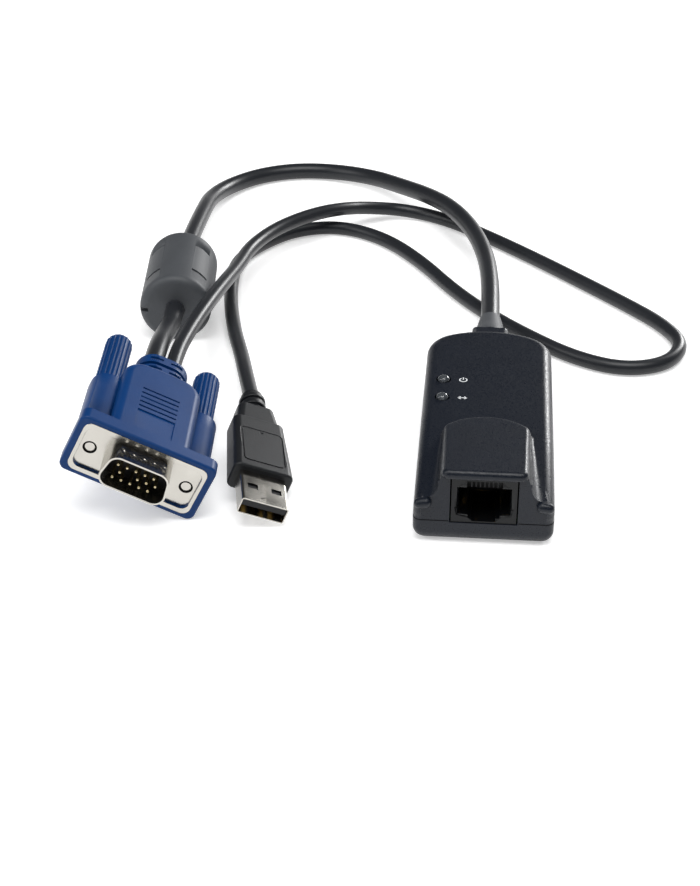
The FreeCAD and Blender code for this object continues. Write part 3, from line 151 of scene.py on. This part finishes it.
# %% [markdown]
# ## Hard pieces
# A CAD node arrives as loose flat triangles. A copy with its doubles merged can be shaded
# smooth, with only the real edges kept sharp. Long thin triangles on a flat face would still
# drag the shading of a rounded edge across it, so the triangles of each flat face are made one
# face first. Its large area then holds the weighted normals flat, as a real moulding looks.

# %% Smooth copies of the CAD nodes
SHARP_ANGLE = math.radians(32.0)
FLAT_ANGLE = math.radians(0.2)
SAME_PLACE = 2e-6
SAME_AREA = 1e-5
SKINS = {}


def skin(node):
    """Copy of a CAD node with merged vertices, smooth where two faces meet at less than the
    sharp angle. The triangles of a flat face become one face, unless such faces would be drawn
    with another area. The jack keeps its triangles, because a light patch was drawn over the
    notch in its mouth once its flat faces were merged, which the test of area didn't find."""
    mesh = frame["nodes"][node].data.copy()
    work = bmesh.new()
    work.from_mesh(mesh)
    bmesh.ops.remove_doubles(work, verts=work.verts, dist=SAME_PLACE)
    work.to_mesh(mesh)
    flat = mesh.copy()
    bmesh.ops.dissolve_limit(work, angle_limit=FLAT_ANGLE, verts=work.verts, edges=work.edges)
    work.to_mesh(flat)
    work.free()
    if node != "jack_body" and abs(drawn_area(flat) / drawn_area(mesh) - 1.0) < SAME_AREA:
        mesh = flat
    else:
        print(node, "keeps its triangles")
    mesh.shade_smooth()
    mesh.set_sharp_from_angle(angle=SHARP_ANGLE)
    obj = bpy.data.objects.new(node + "_skin", mesh)
    scene.collection.objects.link(obj)
    normals = obj.modifiers.new("flat faces stay flat", "WEIGHTED_NORMAL")
    normals.keep_sharp = True
    normals.weight = 50
    body = next(b for b, names in frame["record"]["behaviour"]["bodies"].items() if node in names)
    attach(obj, body)
    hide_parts(node)
    SKINS[node] = obj


for name in frame["nodes"]:
    if name not in ("main_cable", "usb_cable"):
        skin(name)
print(len(SKINS), "smooth pieces,", sum(len(o.data.polygons) for o in SKINS.values()), "faces")

# %% [markdown]
# ## Where the two cables start
# The main cable leaves the boot at the tail of the box. The USB branch leaves the video plug's
# collar, which is a piece of the main cable.

# %% [markdown]
# ## Helpers for materials
# Colours are written as the sRGB hex values a designer would pick and turned to the linear
# light that the renderer works in. One function adds a node with its settings and links, one
# makes a plain material, and two give it what every moulded or plated surface has: a slow drift
# of colour and a fine grain.

# %% Colour and node helpers


def linear(hex_colour):
    """sRGB hex to linear RGBA: each channel under 0.04045 is divided by 12.92, and above that
    it is raised to the power 2.4."""
    channels = np.array([int(hex_colour[i:i + 2], 16) for i in (1, 3, 5)]) / 255.0
    light = np.where(channels <= 0.04045, channels / 12.92, ((channels + 0.055) / 1.055) ** 2.4)
    return (*light.tolist(), 1.0)


def add(tree, kind, links=None, values=None, **settings):
    """Adds one node, sets its settings and socket values, and links sockets to it."""
    made = tree.nodes.new(kind)
    for key, value in settings.items():
        setattr(made, key, value)
    for socket, value in (values or {}).items():
        made.inputs[socket].default_value = value
    for socket, source in (links or {}).items():
        tree.links.new(source, made.inputs[socket])
    return made


def material(name, base, roughness, metallic=0.0, **sockets):
    """New material with a Principled shader whose constant sockets are set directly."""
    made = bpy.data.materials.new(name)
    made.use_nodes = True
    shader = made.node_tree.nodes["Principled BSDF"]
    shader.inputs["Base Color"].default_value = linear(base)
    shader.inputs["Roughness"].default_value = roughness
    shader.inputs["Metallic"].default_value = metallic
    for key, value in sockets.items():
        shader.inputs[key.replace("_", " ")].default_value = value
    print("material", name, base, "roughness", roughness)
    return made, made.node_tree, shader


def object_coordinates(tree):
    return add(tree, "ShaderNodeTexCoord").outputs["Object"]


def mottled(tree, shader, dark, light, size_mm, coordinates):
    """Base colour that drifts softly between two hex colours over size_mm."""
    cloud = add(tree, "ShaderNodeTexNoise", {"Vector": coordinates},
                {"Scale": 1.0 / (size_mm * MM), "Detail": 3.0})
    blend = add(tree, "ShaderNodeMix", {"Factor": cloud.outputs["Fac"]}, data_type="RGBA")
    blend.inputs["A"].default_value = linear(dark)
    blend.inputs["B"].default_value = linear(light)
    tree.links.new(blend.outputs["Result"], shader.inputs["Base Color"])
    return cloud


def grained(tree, shader, grain_mm, depth_mm, coordinates):
    """Bump whose grains are grain_mm wide and depth_mm deep."""
    grain = add(tree, "ShaderNodeTexNoise", {"Vector": coordinates},
                {"Scale": 1.0 / (grain_mm * MM), "Detail": 2.0})
    bump = add(tree, "ShaderNodeBump", {"Height": grain.outputs["Fac"]},
               {"Strength": 1.0, "Distance": depth_mm * MM})
    tree.links.new(bump.outputs["Normal"], shader.inputs["Normal"])
    return grain


def paint(obj, made):
    obj.data.materials.clear()
    obj.data.materials.append(made)


# %% [markdown]
# ## Spark-eroded ABS
# The housing is injection-moulded ABS, near black with a blue cast. Its mould was spark eroded,
# which leaves fine even pits, so highlights are wide and soft, and only the rolled edges shine.
# The pits are drawn 0.3 mm wide, coarser than real ones, so that they show as a faint sparkle:
# the same noise that lifts the surface also makes some grains glossier than others.

# %% Housing plastic
abs_black, tree, shader = material("spark_eroded_abs", "#141922", 0.4, IOR=1.53,
                                     Specular_IOR_Level=0.3)
place = object_coordinates(tree)
mottled(tree, shader, "#121720", "#171c26", 9.0, place)
pits = grained(tree, shader, 0.3, 0.03, place)
glint = add(tree, "ShaderNodeMapRange", {"Value": pits.outputs["Fac"]},
            {"From Min": 0.35, "From Max": 0.65, "To Min": 0.26, "To Max": 0.5})
tree.links.new(glint.outputs["Result"], shader.inputs["Roughness"])
for name in ("top_shell", "bottom_shell"):
    paint(SKINS[name], abs_black)

# %% [markdown]
# ## Jack plastic and contacts
# The jack is glass-filled polyester from a polished mould: glossier than the housing and drawn
# blacker, partly its own black and partly painted shade of the cavity in its mouth. Its contacts
# are gold plated over phosphor bronze.

# %% Jack, contacts and what is inside
# Painted shade: the near-black polyester also stands in for the shade inside the jack's mouth and
# the plug shells.
polyester_black_and_shade, tree, shader = material("moulded_polyester", "#090b0e", 0.3, IOR=1.55,
                                           Specular_IOR_Level=0.25)
grained(tree, shader, 0.5, 0.004, object_coordinates(tree))
gold_plate, tree, shader = material("gold_plate", "#d9b25f", 0.28, 1.0)
mottled(tree, shader, "#cfa551", "#e2c071", 1.2, object_coordinates(tree))
solder_mask, tree, shader = material("solder_mask_laminate", "#1c5a34", 0.35, IOR=1.5)
mottled(tree, shader, "#184e2d", "#21653b", 2.0, object_coordinates(tree))
chip_epoxy, tree, shader = material("moulded_epoxy", "#1b1b1d", 0.55, IOR=1.5)
grained(tree, shader, 0.2, 0.01, object_coordinates(tree))
plated_can, tree, shader = material("nickel_can", "#c3c4c6", 0.3, 1.0)
grained(tree, shader, 0.3, 0.002, object_coordinates(tree))
fired_ceramic, tree, shader = material("fired_ceramic", "#a98f6c", 0.5, IOR=1.6)
mottled(tree, shader, "#9b825f", "#b79c78", 0.6, object_coordinates(tree))
natural_nylon, tree, shader = material("natural_nylon", "#ded9c8", 0.4, IOR=1.53)
mottled(tree, shader, "#d8d2bf", "#e4dfd0", 2.0, object_coordinates(tree))
thin_pvc, tree, shader = material("core_insulation", "#8a8f96", 0.35, IOR=1.52)
mottled(tree, shader, "#7f858d", "#949aa1", 1.0, object_coordinates(tree))
INSIDE = {"jack_body": polyester_black_and_shade, "jack_contacts": gold_plate, "circuit_board": solder_mask,
          "controller_chip": chip_epoxy, "video_converter_chip": chip_epoxy,
          "memory_chip": chip_epoxy, "line_transformer": chip_epoxy,
          "clock_crystal": plated_can, "board_capacitors": fired_ceramic,
          "board_header": natural_nylon, "header_plug": natural_nylon, "inner_wires": thin_pvc,
          "housing_screws": plated_can}
for name, made in INSIDE.items():
    paint(SKINS[name], made)

# %% [markdown]
# ## Lamp bodies
# Inside the clear dome of an unlit lamp lie a cup and a lead frame. The lamp body is drawn in
# mottled dark grey, which is painted shade of the dark hole it stands in. The clear dome itself is
# made further down.

# %% Lamp bodies
# Painted shade: the lamp bodies are drawn in mottled dark grey.
lamp_body_painted_shade, tree, shader = material("lamp_body_painted_shade", "#2b2e31", 0.12, IOR=1.54)
mottled(tree, shader, "#1c1e20", "#43474b", 1.1, object_coordinates(tree))
for name in ("power_led", "active_led"):
    paint(SKINS[name], lamp_body_painted_shade)

# %% [markdown]
# ## Cable PVC and moulded rubber
# The jackets are extruded PVC: satin, with a faint long drift in colour. The boot, the ferrite's
# overmould and the USB plug's grip are softer and come from a lightly blasted mould.

# %% Cable jacket, boot and ferrite
jacket, tree, shader = material("extruded_pvc_jacket", "#232529", 0.36, IOR=1.52,
                                  Specular_IOR_Level=0.35)
place = object_coordinates(tree)
mottled(tree, shader, "#202226", "#282a2e", 14.0, place)
grained(tree, shader, 0.9, 0.012, place)
paint(main_lead, jacket)
paint(usb_lead, jacket)
soft_rubber, tree, shader = material("blasted_soft_rubber", "#43464a", 0.55, IOR=1.5)
place = object_coordinates(tree)
mottled(tree, shader, "#3e4145", "#494c50", 6.0, place)
grained(tree, shader, 0.3, 0.02, place)
for name in ("strain_relief", "ferrite_overmould"):
    paint(SKINS[name], soft_rubber)
grip_pvc, tree, shader = material("blasted_grip_pvc", "#191b1e", 0.42, IOR=1.52,
                                  Specular_IOR_Level=0.3)
place = object_coordinates(tree)
mottled(tree, shader, "#16181b", "#1d1f22", 5.0, place)
grained(tree, shader, 0.3, 0.03, place)
paint(SKINS["usb_overmould"], grip_pvc)
sintered, tree, shader = material("sintered_ferrite", "#3a3836", 0.6, IOR=1.8)
grained(tree, shader, 0.15, 0.02, object_coordinates(tree))
paint(SKINS["ferrite_core"], sintered)

# %% [markdown]
# ## Blue overmould
# The video plug's hood and its thumbscrews are royal-blue PVC. It is slightly soft, so its
# grain is shallow and its edges carry a broad, weak sheen.

# %% Blue plastic
blue_pvc, tree, shader = material("royal_blue_pvc", "#04356c", 0.42, IOR=1.53,
                                    Specular_IOR_Level=0.2)
place = object_coordinates(tree)
mottled(tree, shader, "#033166", "#073c76", 8.0, place)
grained(tree, shader, 0.3, 0.028, place)
for name in ("video_hood", "left_thumbscrew_knob", "right_thumbscrew_knob"):
    paint(SKINS[name], blue_pvc)

# %% [markdown]
# ## Nickel plate and pins
# The plug shells are drawn steel with nickel plate: a warm white metal. The drawing leaves a
# slight waviness, which breaks up its reflections. The pins are flashed with gold, and the
# insulator and the tongue that carry the contacts are the jack's near-black polyester, which also
# paints in the shade inside the shells.

# %% Metal of the plugs
nickel, tree, shader = material("nickel_plated_steel", "#cfccc4", 0.2, 1.0)
place = object_coordinates(tree)
cloud = mottled(tree, shader, "#b3b0a9", "#c9c6bf", 5.0, place)
wear = add(tree, "ShaderNodeMapRange", {"Value": cloud.outputs["Fac"]},
           {"To Min": 0.14, "To Max": 0.32})
tree.links.new(wear.outputs["Result"], shader.inputs["Roughness"])
grained(tree, shader, 1.6, 0.01, place)
for name in ("video_front_shell", "video_rear_shell", "left_thumbscrew_shank",
             "right_thumbscrew_shank", "usb_shell"):
    paint(SKINS[name], nickel)
pin_plate, tree, shader = material("flashed_pin", "#cdbf98", 0.22, 1.0)
mottled(tree, shader, "#c2b389", "#d9cda9", 0.8, object_coordinates(tree))
paint(SKINS["video_pins"], pin_plate)
paint(SKINS["video_insulator"], polyester_black_and_shade)
paint(SKINS["usb_contacts"], gold_plate)
paint(SKINS["usb_tongue"], polyester_black_and_shade)
print(sum(len(o.data.materials) for o in SKINS.values()), "pieces painted")

# %% [markdown]
# ## Small moulded and printed detail
# A few features are finer than the CAD frame: the rounded shoulder noses, a dark line of painted
# shade along the joint between the two shells, the lamps' clear domes, the rim of the video plug's
# face, dark rings of painted shade in its screw holes and two printed signs. Each is a surface
# worked out with numpy: a profile carried along a path, or turned about a line. One function turns
# such a grid of points into a mesh with its faces outwards.

# %% Grid of points to mesh
WELD = 1e-7
CREASE_ANGLE = math.radians(35.0)


def surface(name, grids, made, closed_rows=False, closed_columns=False, caps=False):
    """Mesh of one or more grids of points in millimetres, rows by columns by 3. Each four
    neighbours make a face. A closed direction joins its last line to its first, and caps fill
    the first and the last row."""
    corners, faces, used = [], [], 0
    for grid in grids:
        rows, columns = grid.shape[:2]
        index = np.arange(rows * columns).reshape(rows, columns) + used
        ends = [index[0].tolist(), index[-1].tolist()]
        if closed_rows:
            index = np.vstack([index, index[:1]])
        if closed_columns:
            index = np.hstack([index, index[:, :1]])
        quads = np.stack([index[:-1, :-1], index[:-1, 1:], index[1:, 1:], index[1:, :-1]],
                         axis=-1)
        faces += quads.reshape(-1, 4).tolist() + (ends if caps else [])
        corners.append(grid.reshape(-1, 3) * MM)
        used += rows * columns
    mesh = bpy.data.meshes.new(name)
    mesh.from_pydata(np.vstack(corners).tolist(), [], faces)
    work = bmesh.new()
    work.from_mesh(mesh)
    bmesh.ops.remove_doubles(work, verts=work.verts, dist=WELD)
    bmesh.ops.recalc_face_normals(work, faces=work.faces)
    work.to_mesh(mesh)
    work.free()
    mesh.shade_smooth()
    mesh.set_sharp_from_angle(angle=CREASE_ANGLE)
    obj = bpy.data.objects.new(name, mesh)
    scene.collection.objects.link(obj)
    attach(obj, "module")
    paint(obj, made)
    print(name, len(mesh.polygons), "faces")


def full_turn(steps):
    """Angles of a closed circle: steps of them, without the last, which is the first again."""
    return np.linspace(0.0, 2 * math.pi, steps + 1)[:-1]


def carried(path, section, up):
    """A section of (outward, upward) offsets carried along a path. At each path point the
    outward direction is the path's direction crossed with up."""
    ahead = np.gradient(path, axis=0)
    ahead /= np.linalg.norm(ahead, axis=1, keepdims=True)
    outward = np.cross(ahead, up)
    return (path[:, None, :] + section[None, :, :1] * outward[:, None, :]
            + section[None, :, 1:] * np.array(up)[None, None, :])


# %% [markdown]
# ## Shoulder noses
# The edge of the front face ends at each side in a blunt rounded nose, as thick as a match head.
# It is a capsule: a circle that grows along a quarter turn, runs straight with a slowly falling
# radius, and closes along another quarter turn.

# %% Shoulder noses
NOSE_INNER = np.array([13.7, -37.45, 11.45])
NOSE_OUTER = np.array([15.3, -37.4, 11.15])
NOSE_R = (1.34, 1.3)


def capsule(start, end, radius_start, radius_end):
    """Capsule grid: along the line from start to end the distance runs from minus the first
    radius to the length plus the second, and the circle's radius is that of the round ends."""
    line = end - start
    length = float(np.linalg.norm(line))
    line = line / length
    side = np.cross(line, (0.0, 0.0, 1.0))
    side /= np.linalg.norm(side)
    top = np.cross(side, line)
    quarter = np.linspace(0.0, math.pi / 2, 9)
    along = np.concatenate([-radius_start * np.cos(quarter),
                            length + radius_end * np.sin(quarter)])
    across = np.concatenate([radius_start * np.sin(quarter), radius_end * np.cos(quarter)])
    turn = full_turn(24)
    circle = np.cos(turn)[:, None] * side + np.sin(turn)[:, None] * top
    return start + along[:, None, None] * line + across[:, None, None] * circle[None, :, :]


for side_name, mirror in (("left", -1.0), ("right", 1.0)):
    flip = np.array([mirror, 1.0, 1.0])
    surface("shoulder_nose_" + side_name,
            [capsule(NOSE_INNER * flip, NOSE_OUTER * flip, *NOSE_R)], abs_black,
            closed_columns=True)

# %% [markdown]
# ## Joint line
# The top shell sits on the bottom shell. Along the joint, a fine dark ribbon is painted shade of
# the gap between them. The ribbon follows the outline of the shell itself, read from the frame,
# and stops at the jack.

# %% Joint line between the shells
JOINT_Z = 6.3
HOUSING_REAR_Y = 44.2
JACK_HALF_WIDE = 8.3
JOINT_IN, JOINT_OUT, JOINT_HALF_HIGH = -0.1, 0.03, 0.11
NEAR_JOINT, PAST_REAR = 0.01, 0.02
# Painted shade: a near-black matt colour that stands in for the shade in the joint and in the
# screw holes.
gap_shade_paint, tree, shader = material("painted_gap_shade", "#08090b", 0.9)
shader.inputs["Specular IOR Level"].default_value = 0.1
mottled(tree, shader, "#060708", "#0b0c0e", 3.0, object_coordinates(tree))
shell = SKINS["top_shell"].data
places = np.empty(len(shell.vertices) * 3)
shell.vertices.foreach_get("co", places)
places = places.reshape(-1, 3) / MM
rim = places[(np.abs(places[:, 2] - JOINT_Z) < NEAR_JOINT)
             & (places[:, 1] < HOUSING_REAR_Y + PAST_REAR)]
rim = rim[convex_hull_2d([tuple(place) for place in rim[:, :2]]), :2]
rim = rim[np.argsort(np.arctan2(rim[:, 0], -rim[:, 1]) % (2 * math.pi))]
rim = np.vstack([[JACK_HALF_WIDE, rim[:, 1].min()], rim, [-JACK_HALF_WIDE, rim[:, 1].min()]])
seam_path = np.column_stack([rim, np.full(len(rim), JOINT_Z)])
seam_section = np.array([(JOINT_IN, -JOINT_HALF_HIGH), (JOINT_OUT, -JOINT_HALF_HIGH),
                         (JOINT_OUT, JOINT_HALF_HIGH), (JOINT_IN, JOINT_HALF_HIGH)])
# A dark ribbon of painted shade along the joint.
surface("joint_painted_shade", [carried(seam_path, seam_section, (0.0, 0.0, 1.0))], gap_shade_paint,
        closed_columns=True, caps=True)

# %% [markdown]
# ## Lamp domes
# The part of each lamp above the deck is a dome of water-clear epoxy. It is drawn with a grey tint
# and only partly clear, which paints in the shade of the dark hole seen through it. Its profile is
# a quarter of an ellipse on a short cylinder, turned about the lamp's axis.

# %% Lamp domes
LAMP_PLACES = {"power": (-11.6, 14.2), "activity": (-11.6, 4.9)}
DECK_TOP = 16.3
DOME_R = 1.55
DOME_HIGH = 1.05
DOME_BASE = -0.15
# Painted shade: the dome's grey tint darkens it.
clear_epoxy, tree, shader = material("water_clear_epoxy", "#7b8086", 0.03, IOR=1.54)
shader.inputs["Transmission Weight"].default_value = 0.75
mottled(tree, shader, "#6c7177", "#8a8f95", 2.0, object_coordinates(tree))


def dome(x, y):
    """Dome grid: radius is DOME_R times the cosine and height DOME_HIGH times the sine of an
    angle from 0 to a quarter turn, over a flat base just under the deck's top."""
    rise = np.linspace(0.0, math.pi / 2, 13)
    radius = np.concatenate([[0.0, DOME_R], DOME_R * np.cos(rise)])
    height = np.concatenate([[DOME_BASE, DOME_BASE], DOME_HIGH * np.sin(rise)])
    turn = full_turn(32)
    return np.stack([x + radius[:, None] * np.cos(turn), y + radius[:, None] * np.sin(turn),
                     DECK_TOP + height[:, None] + 0.0 * turn], axis=-1)


for lamp_name, (x, y) in LAMP_PLACES.items():
    surface(lamp_name + "_lamp_dome", [dome(x, y)], clear_epoxy, closed_columns=True)

# %% [markdown]
# ## Rim of the video plug's face
# The plug's steel plate reaches further out than its recess: a flat rim laps over the front of
# the blue hood. It is a rounded rectangle drawn six times, from the outer edge round to the
# wall of the recess, in the plug's own tilted directions.

# %% Plate rim
PLUG_PLACE = np.array([-83.1, -32.8, 14.8])
PLUG_ROLL, PLUG_PITCH, PLUG_YAW = (math.radians(a) for a in (26.2, 2.5, 2.5))
RIM_LOOPS = [(15.9, 7.15, 2.1, -0.7), (15.9, 7.15, 2.1, -0.86), (15.84, 7.09, 2.04, -0.92),
             (15.06, 5.91, 2.0, -0.92), (15.0, 5.85, 1.95, -0.86), (15.0, 5.85, 1.95, 0.05)]


def rounded_rectangle(half_wide, half_high, corner, depth, steps=9):
    """Loop of points: each corner is a quarter circle of the given radius about a centre that
    lies that radius inside both sides."""
    turn = (np.arange(4)[:, None] * math.pi / 2 + np.linspace(0.0, math.pi / 2, steps)).ravel()
    side = np.repeat([(1, 1), (-1, 1), (-1, -1), (1, -1)], steps, axis=0)
    return np.column_stack([side[:, 0] * (half_wide - corner) + corner * np.cos(turn),
                            np.full(len(turn), depth),
                            side[:, 1] * (half_high - corner) + corner * np.sin(turn)])


def in_plug(points):
    """Points in the plug's own directions turned by its roll, pitch and yaw, then moved."""
    turned = (np.array(Matrix.Rotation(PLUG_YAW, 3, "Z"))
              @ np.array(Matrix.Rotation(PLUG_PITCH, 3, "X"))
              @ np.array(Matrix.Rotation(PLUG_ROLL, 3, "Y")))
    return points @ turned.T + PLUG_PLACE


surface("plug_face_rim", [in_plug(np.stack([rounded_rectangle(*loop) for loop in RIM_LOOPS]))],
        nickel, closed_columns=True)

# %% [markdown]
# ## Screw holes in the plug's face
# Each screw's threaded end stands in a wider hole. Round the bright metal, the shade inside the
# hole is painted as a dark ring: a short tapered wall turned about the screw's axis.

# %% Dark rings round the screws
SCREW_X = 12.495
RING_PROFILE = [(1.44, 0.1), (1.44, -0.03), (1.72, -0.05), (1.78, 0.1)]


def screw_ring(x):
    """Turned profile: each (radius, depth) pair becomes a circle about the screw's axis."""
    turn = full_turn(40)
    return in_plug(np.stack([np.column_stack([x + radius * np.cos(turn),
                                              np.full(len(turn), depth), radius * np.sin(turn)])
                             for radius, depth in RING_PROFILE]))


# Painted shade: dark rings in the screw holes.
surface("screw_hole_painted_shade", [screw_ring(-SCREW_X), screw_ring(SCREW_X)], gap_shade_paint,
        closed_rows=True, closed_columns=True)

# %% [markdown]
# ## Printed signs
# Two small signs are screen printed beside the lamps in white ink: a ring with a bar for power,
# and an arrow with two heads for traffic. Each is a flat stroke carried along a short path.

# %% Signs
INK_HIGH = 0.02
STROKE_HALF_WIDE = 0.15
RING_PLACE = (-6.5, 14.2)
RING_R = 0.95
RING_SPAN = (120.0, 420.0)
BAR = ((-6.5, 14.3), (-6.5, 15.5))
ARROW = [((-7.5, 4.8), (-5.4, 4.8)), ((-7.55, 4.8), (-6.9, 5.4)), ((-7.55, 4.8), (-6.9, 4.2)),
         ((-5.35, 4.8), (-6.0, 5.4)), ((-5.35, 4.8), (-6.0, 4.2))]
printed_ink, tree, shader = material("screen_printed_ink", "#dfe2e4", 0.6, IOR=1.5)
mottled(tree, shader, "#d4d8da", "#e8eaeb", 0.8, object_coordinates(tree))
stroke_section = np.array([(-STROKE_HALF_WIDE, -INK_HIGH), (STROKE_HALF_WIDE, -INK_HIGH),
                           (STROKE_HALF_WIDE, INK_HIGH), (-STROKE_HALF_WIDE, INK_HIGH)])


def stroke(points):
    """Flat stroke on the deck along a path of (x, y) points in millimetres."""
    path = np.column_stack([points, np.full(len(points), DECK_TOP)])
    return carried(path, stroke_section, (0.0, 0.0, 1.0))


sweep = np.radians(np.linspace(*RING_SPAN, 31))
ring = np.column_stack([RING_PLACE[0] + RING_R * np.cos(sweep),
                        RING_PLACE[1] + RING_R * np.sin(sweep)])
surface("power_sign", [stroke(ring), stroke(np.linspace(*BAR, 3))], printed_ink,
        closed_columns=True, caps=True)
surface("traffic_sign", [stroke(np.linspace(*ends, 3)) for ends in ARROW], printed_ink,
        closed_columns=True, caps=True)

# %% [markdown]
# ## Floor
# The object lies on seamless white acrylic, which keeps its shadow. Near the object the lamps
# light the floor, and a small glow lifts it to white. Further out the glow grows, as a sweep
# that rises into the light does. Only the camera and mirror reflections see the glow, so it
# adds no light to the object.

# %% Floor
FLOOR_GLOW = 0.42
SWEEP_START = 0.5
SWEEP_END = 1.4
FLOOR_HALF = 6
FLOOR_DROP = 0.00005
floor_mesh = bpy.data.meshes.new("white_floor")
floor_mesh.from_pydata([(x * FLOOR_HALF, y * FLOOR_HALF, 0)
                        for x, y in ((-1, -1), (1, -1), (1, 1), (-1, 1))], [], [(0, 1, 2, 3)])
floor = bpy.data.objects.new("white_floor", floor_mesh)
scene.collection.objects.link(floor)
floor.location.z = -FLOOR_DROP
floor_paint, tree, shader = material("white_acrylic_floor", "#f4f4f4", 0.6)
shader.inputs["Specular IOR Level"].default_value = 0.2
path = add(tree, "ShaderNodeLightPath")
seen = add(tree, "ShaderNodeMath",
           {0: path.outputs["Is Camera Ray"], 1: path.outputs["Is Glossy Ray"]},
           operation="MAXIMUM")
far = add(tree, "ShaderNodeVectorMath", {0: object_coordinates(tree)}, operation="LENGTH")
fade = add(tree, "ShaderNodeMapRange", {"Value": far.outputs["Value"]},
           {"From Min": SWEEP_START, "From Max": SWEEP_END, "To Min": FLOOR_GLOW, "To Max": 1.0})
glow = add(tree, "ShaderNodeMath", {0: seen.outputs["Value"], 1: fade.outputs["Result"]},
           operation="MULTIPLY")
shader.inputs["Emission Color"].default_value = (1, 1, 1, 1)
tree.links.new(glow.outputs["Value"], shader.inputs["Emission Strength"])
floor_mesh.materials.append(floor_paint)
print("floor glow", FLOOR_GLOW, "near the object, 1.0 from", SWEEP_END, "m away")

# %% [markdown]
# ## Room
# The camera sees a white room. Plastic and metal mirror a studio instead: a white sweep low
# behind the object, a dim front and a dark ceiling. That leaves flat tops dark and puts bright
# lines along rolled edges. The choice goes by the direction of the ray, so it holds from every
# side. Matt surfaces get a little even light.

# %% Room
ROOM_LEVEL = 0.2
SWEEP_TOP = (0.02, 0.2)
CEILING_LEVEL = 0.04
FRONT_LEVEL = 0.2
FRONT_FADE = 0.3
world = bpy.data.worlds.new("white_studio")
scene.world = world
world.use_nodes = True
tree = world.node_tree
tree.nodes.clear()
path = add(tree, "ShaderNodeLightPath")
seen = add(tree, "ShaderNodeMath",
           {0: path.outputs["Is Camera Ray"], 1: path.outputs["Is Transmission Ray"]},
           operation="MAXIMUM")
ray = add(tree, "ShaderNodeTexCoord").outputs["Generated"]
heading = add(tree, "ShaderNodeSeparateXYZ", {"Vector": ray})
sweep_white = add(tree, "ShaderNodeMapRange", {"Value": heading.outputs["Z"]},
                  {"From Min": SWEEP_TOP[0], "From Max": SWEEP_TOP[1], "To Min": 1.0,
                   "To Max": CEILING_LEVEL}, interpolation_type="SMOOTHSTEP")
behind = add(tree, "ShaderNodeMapRange", {"Value": heading.outputs["Y"]},
             {"From Min": -FRONT_FADE, "From Max": FRONT_FADE, "To Min": FRONT_LEVEL,
              "To Max": 1.0})
room = add(tree, "ShaderNodeMath", {0: behind.outputs["Result"], 1: sweep_white.outputs["Result"]},
           operation="MULTIPLY")
mirrored = add(tree, "ShaderNodeMath", {0: path.outputs["Is Glossy Ray"],
                                        1: room.outputs["Value"]}, operation="MULTIPLY")
brightest = add(tree, "ShaderNodeMath", {0: seen.outputs["Value"], 1: mirrored.outputs["Value"]},
                operation="MAXIMUM")
matt = add(tree, "ShaderNodeMath", {0: path.outputs["Is Diffuse Ray"]}, {1: ROOM_LEVEL},
           operation="MULTIPLY")
level = add(tree, "ShaderNodeMath", {0: brightest.outputs["Value"], 1: matt.outputs["Value"]},
            operation="MAXIMUM")
sky = add(tree, "ShaderNodeBackground", {"Strength": level.outputs["Value"]},
          {"Color": (1.0, 1.0, 1.0, 1.0)})
add(tree, "ShaderNodeOutputWorld", {"Surface": sky.outputs["Background"]})
print("room levels: sweep 1.0, front", FRONT_LEVEL, "ceiling", CEILING_LEVEL)

# %% [markdown]
# ## Lamps of the studio
# A wide softbox above the front lights the whole object. A small one low behind its right side
# draws the highlight along the right edges, and a weak one fills the left.

# %% Studio lamps
OBJECT_MIDDLE = (-0.03, 0.04, 0.0)


def softbox(name, place, wide, high, watts):
    """Rectangular lamp at place, turned to face the middle of the object: tilted down from the
    vertical, then turned about it."""
    data = bpy.data.lights.new(name, "AREA")
    data.shape = "RECTANGLE"
    data.size = wide
    data.size_y = high
    data.energy = watts
    lamp = bpy.data.objects.new(name, data)
    scene.collection.objects.link(lamp)
    lamp.location = place
    toward = np.array(OBJECT_MIDDLE) - np.array(place)
    tilt = math.acos(-toward[2] / float(np.linalg.norm(toward)))
    lamp.rotation_euler = (tilt, 0.0, math.atan2(-toward[0], toward[1]))


softbox("overhead_softbox", (0.05, -0.25, 1.1), 0.9, 0.7, 10.5)
softbox("right_rim_softbox", (0.55, 1.0, 0.36), 0.35, 0.3, 7.5)
softbox("left_fill", (-0.9, -0.3, 0.7), 0.7, 0.7, 4.0)

# %% [markdown]
# ## Last step
# The scene settings stay plain.

# %% Finish
scene.view_settings.view_transform = "Standard"
bpy.context.view_layer.update()
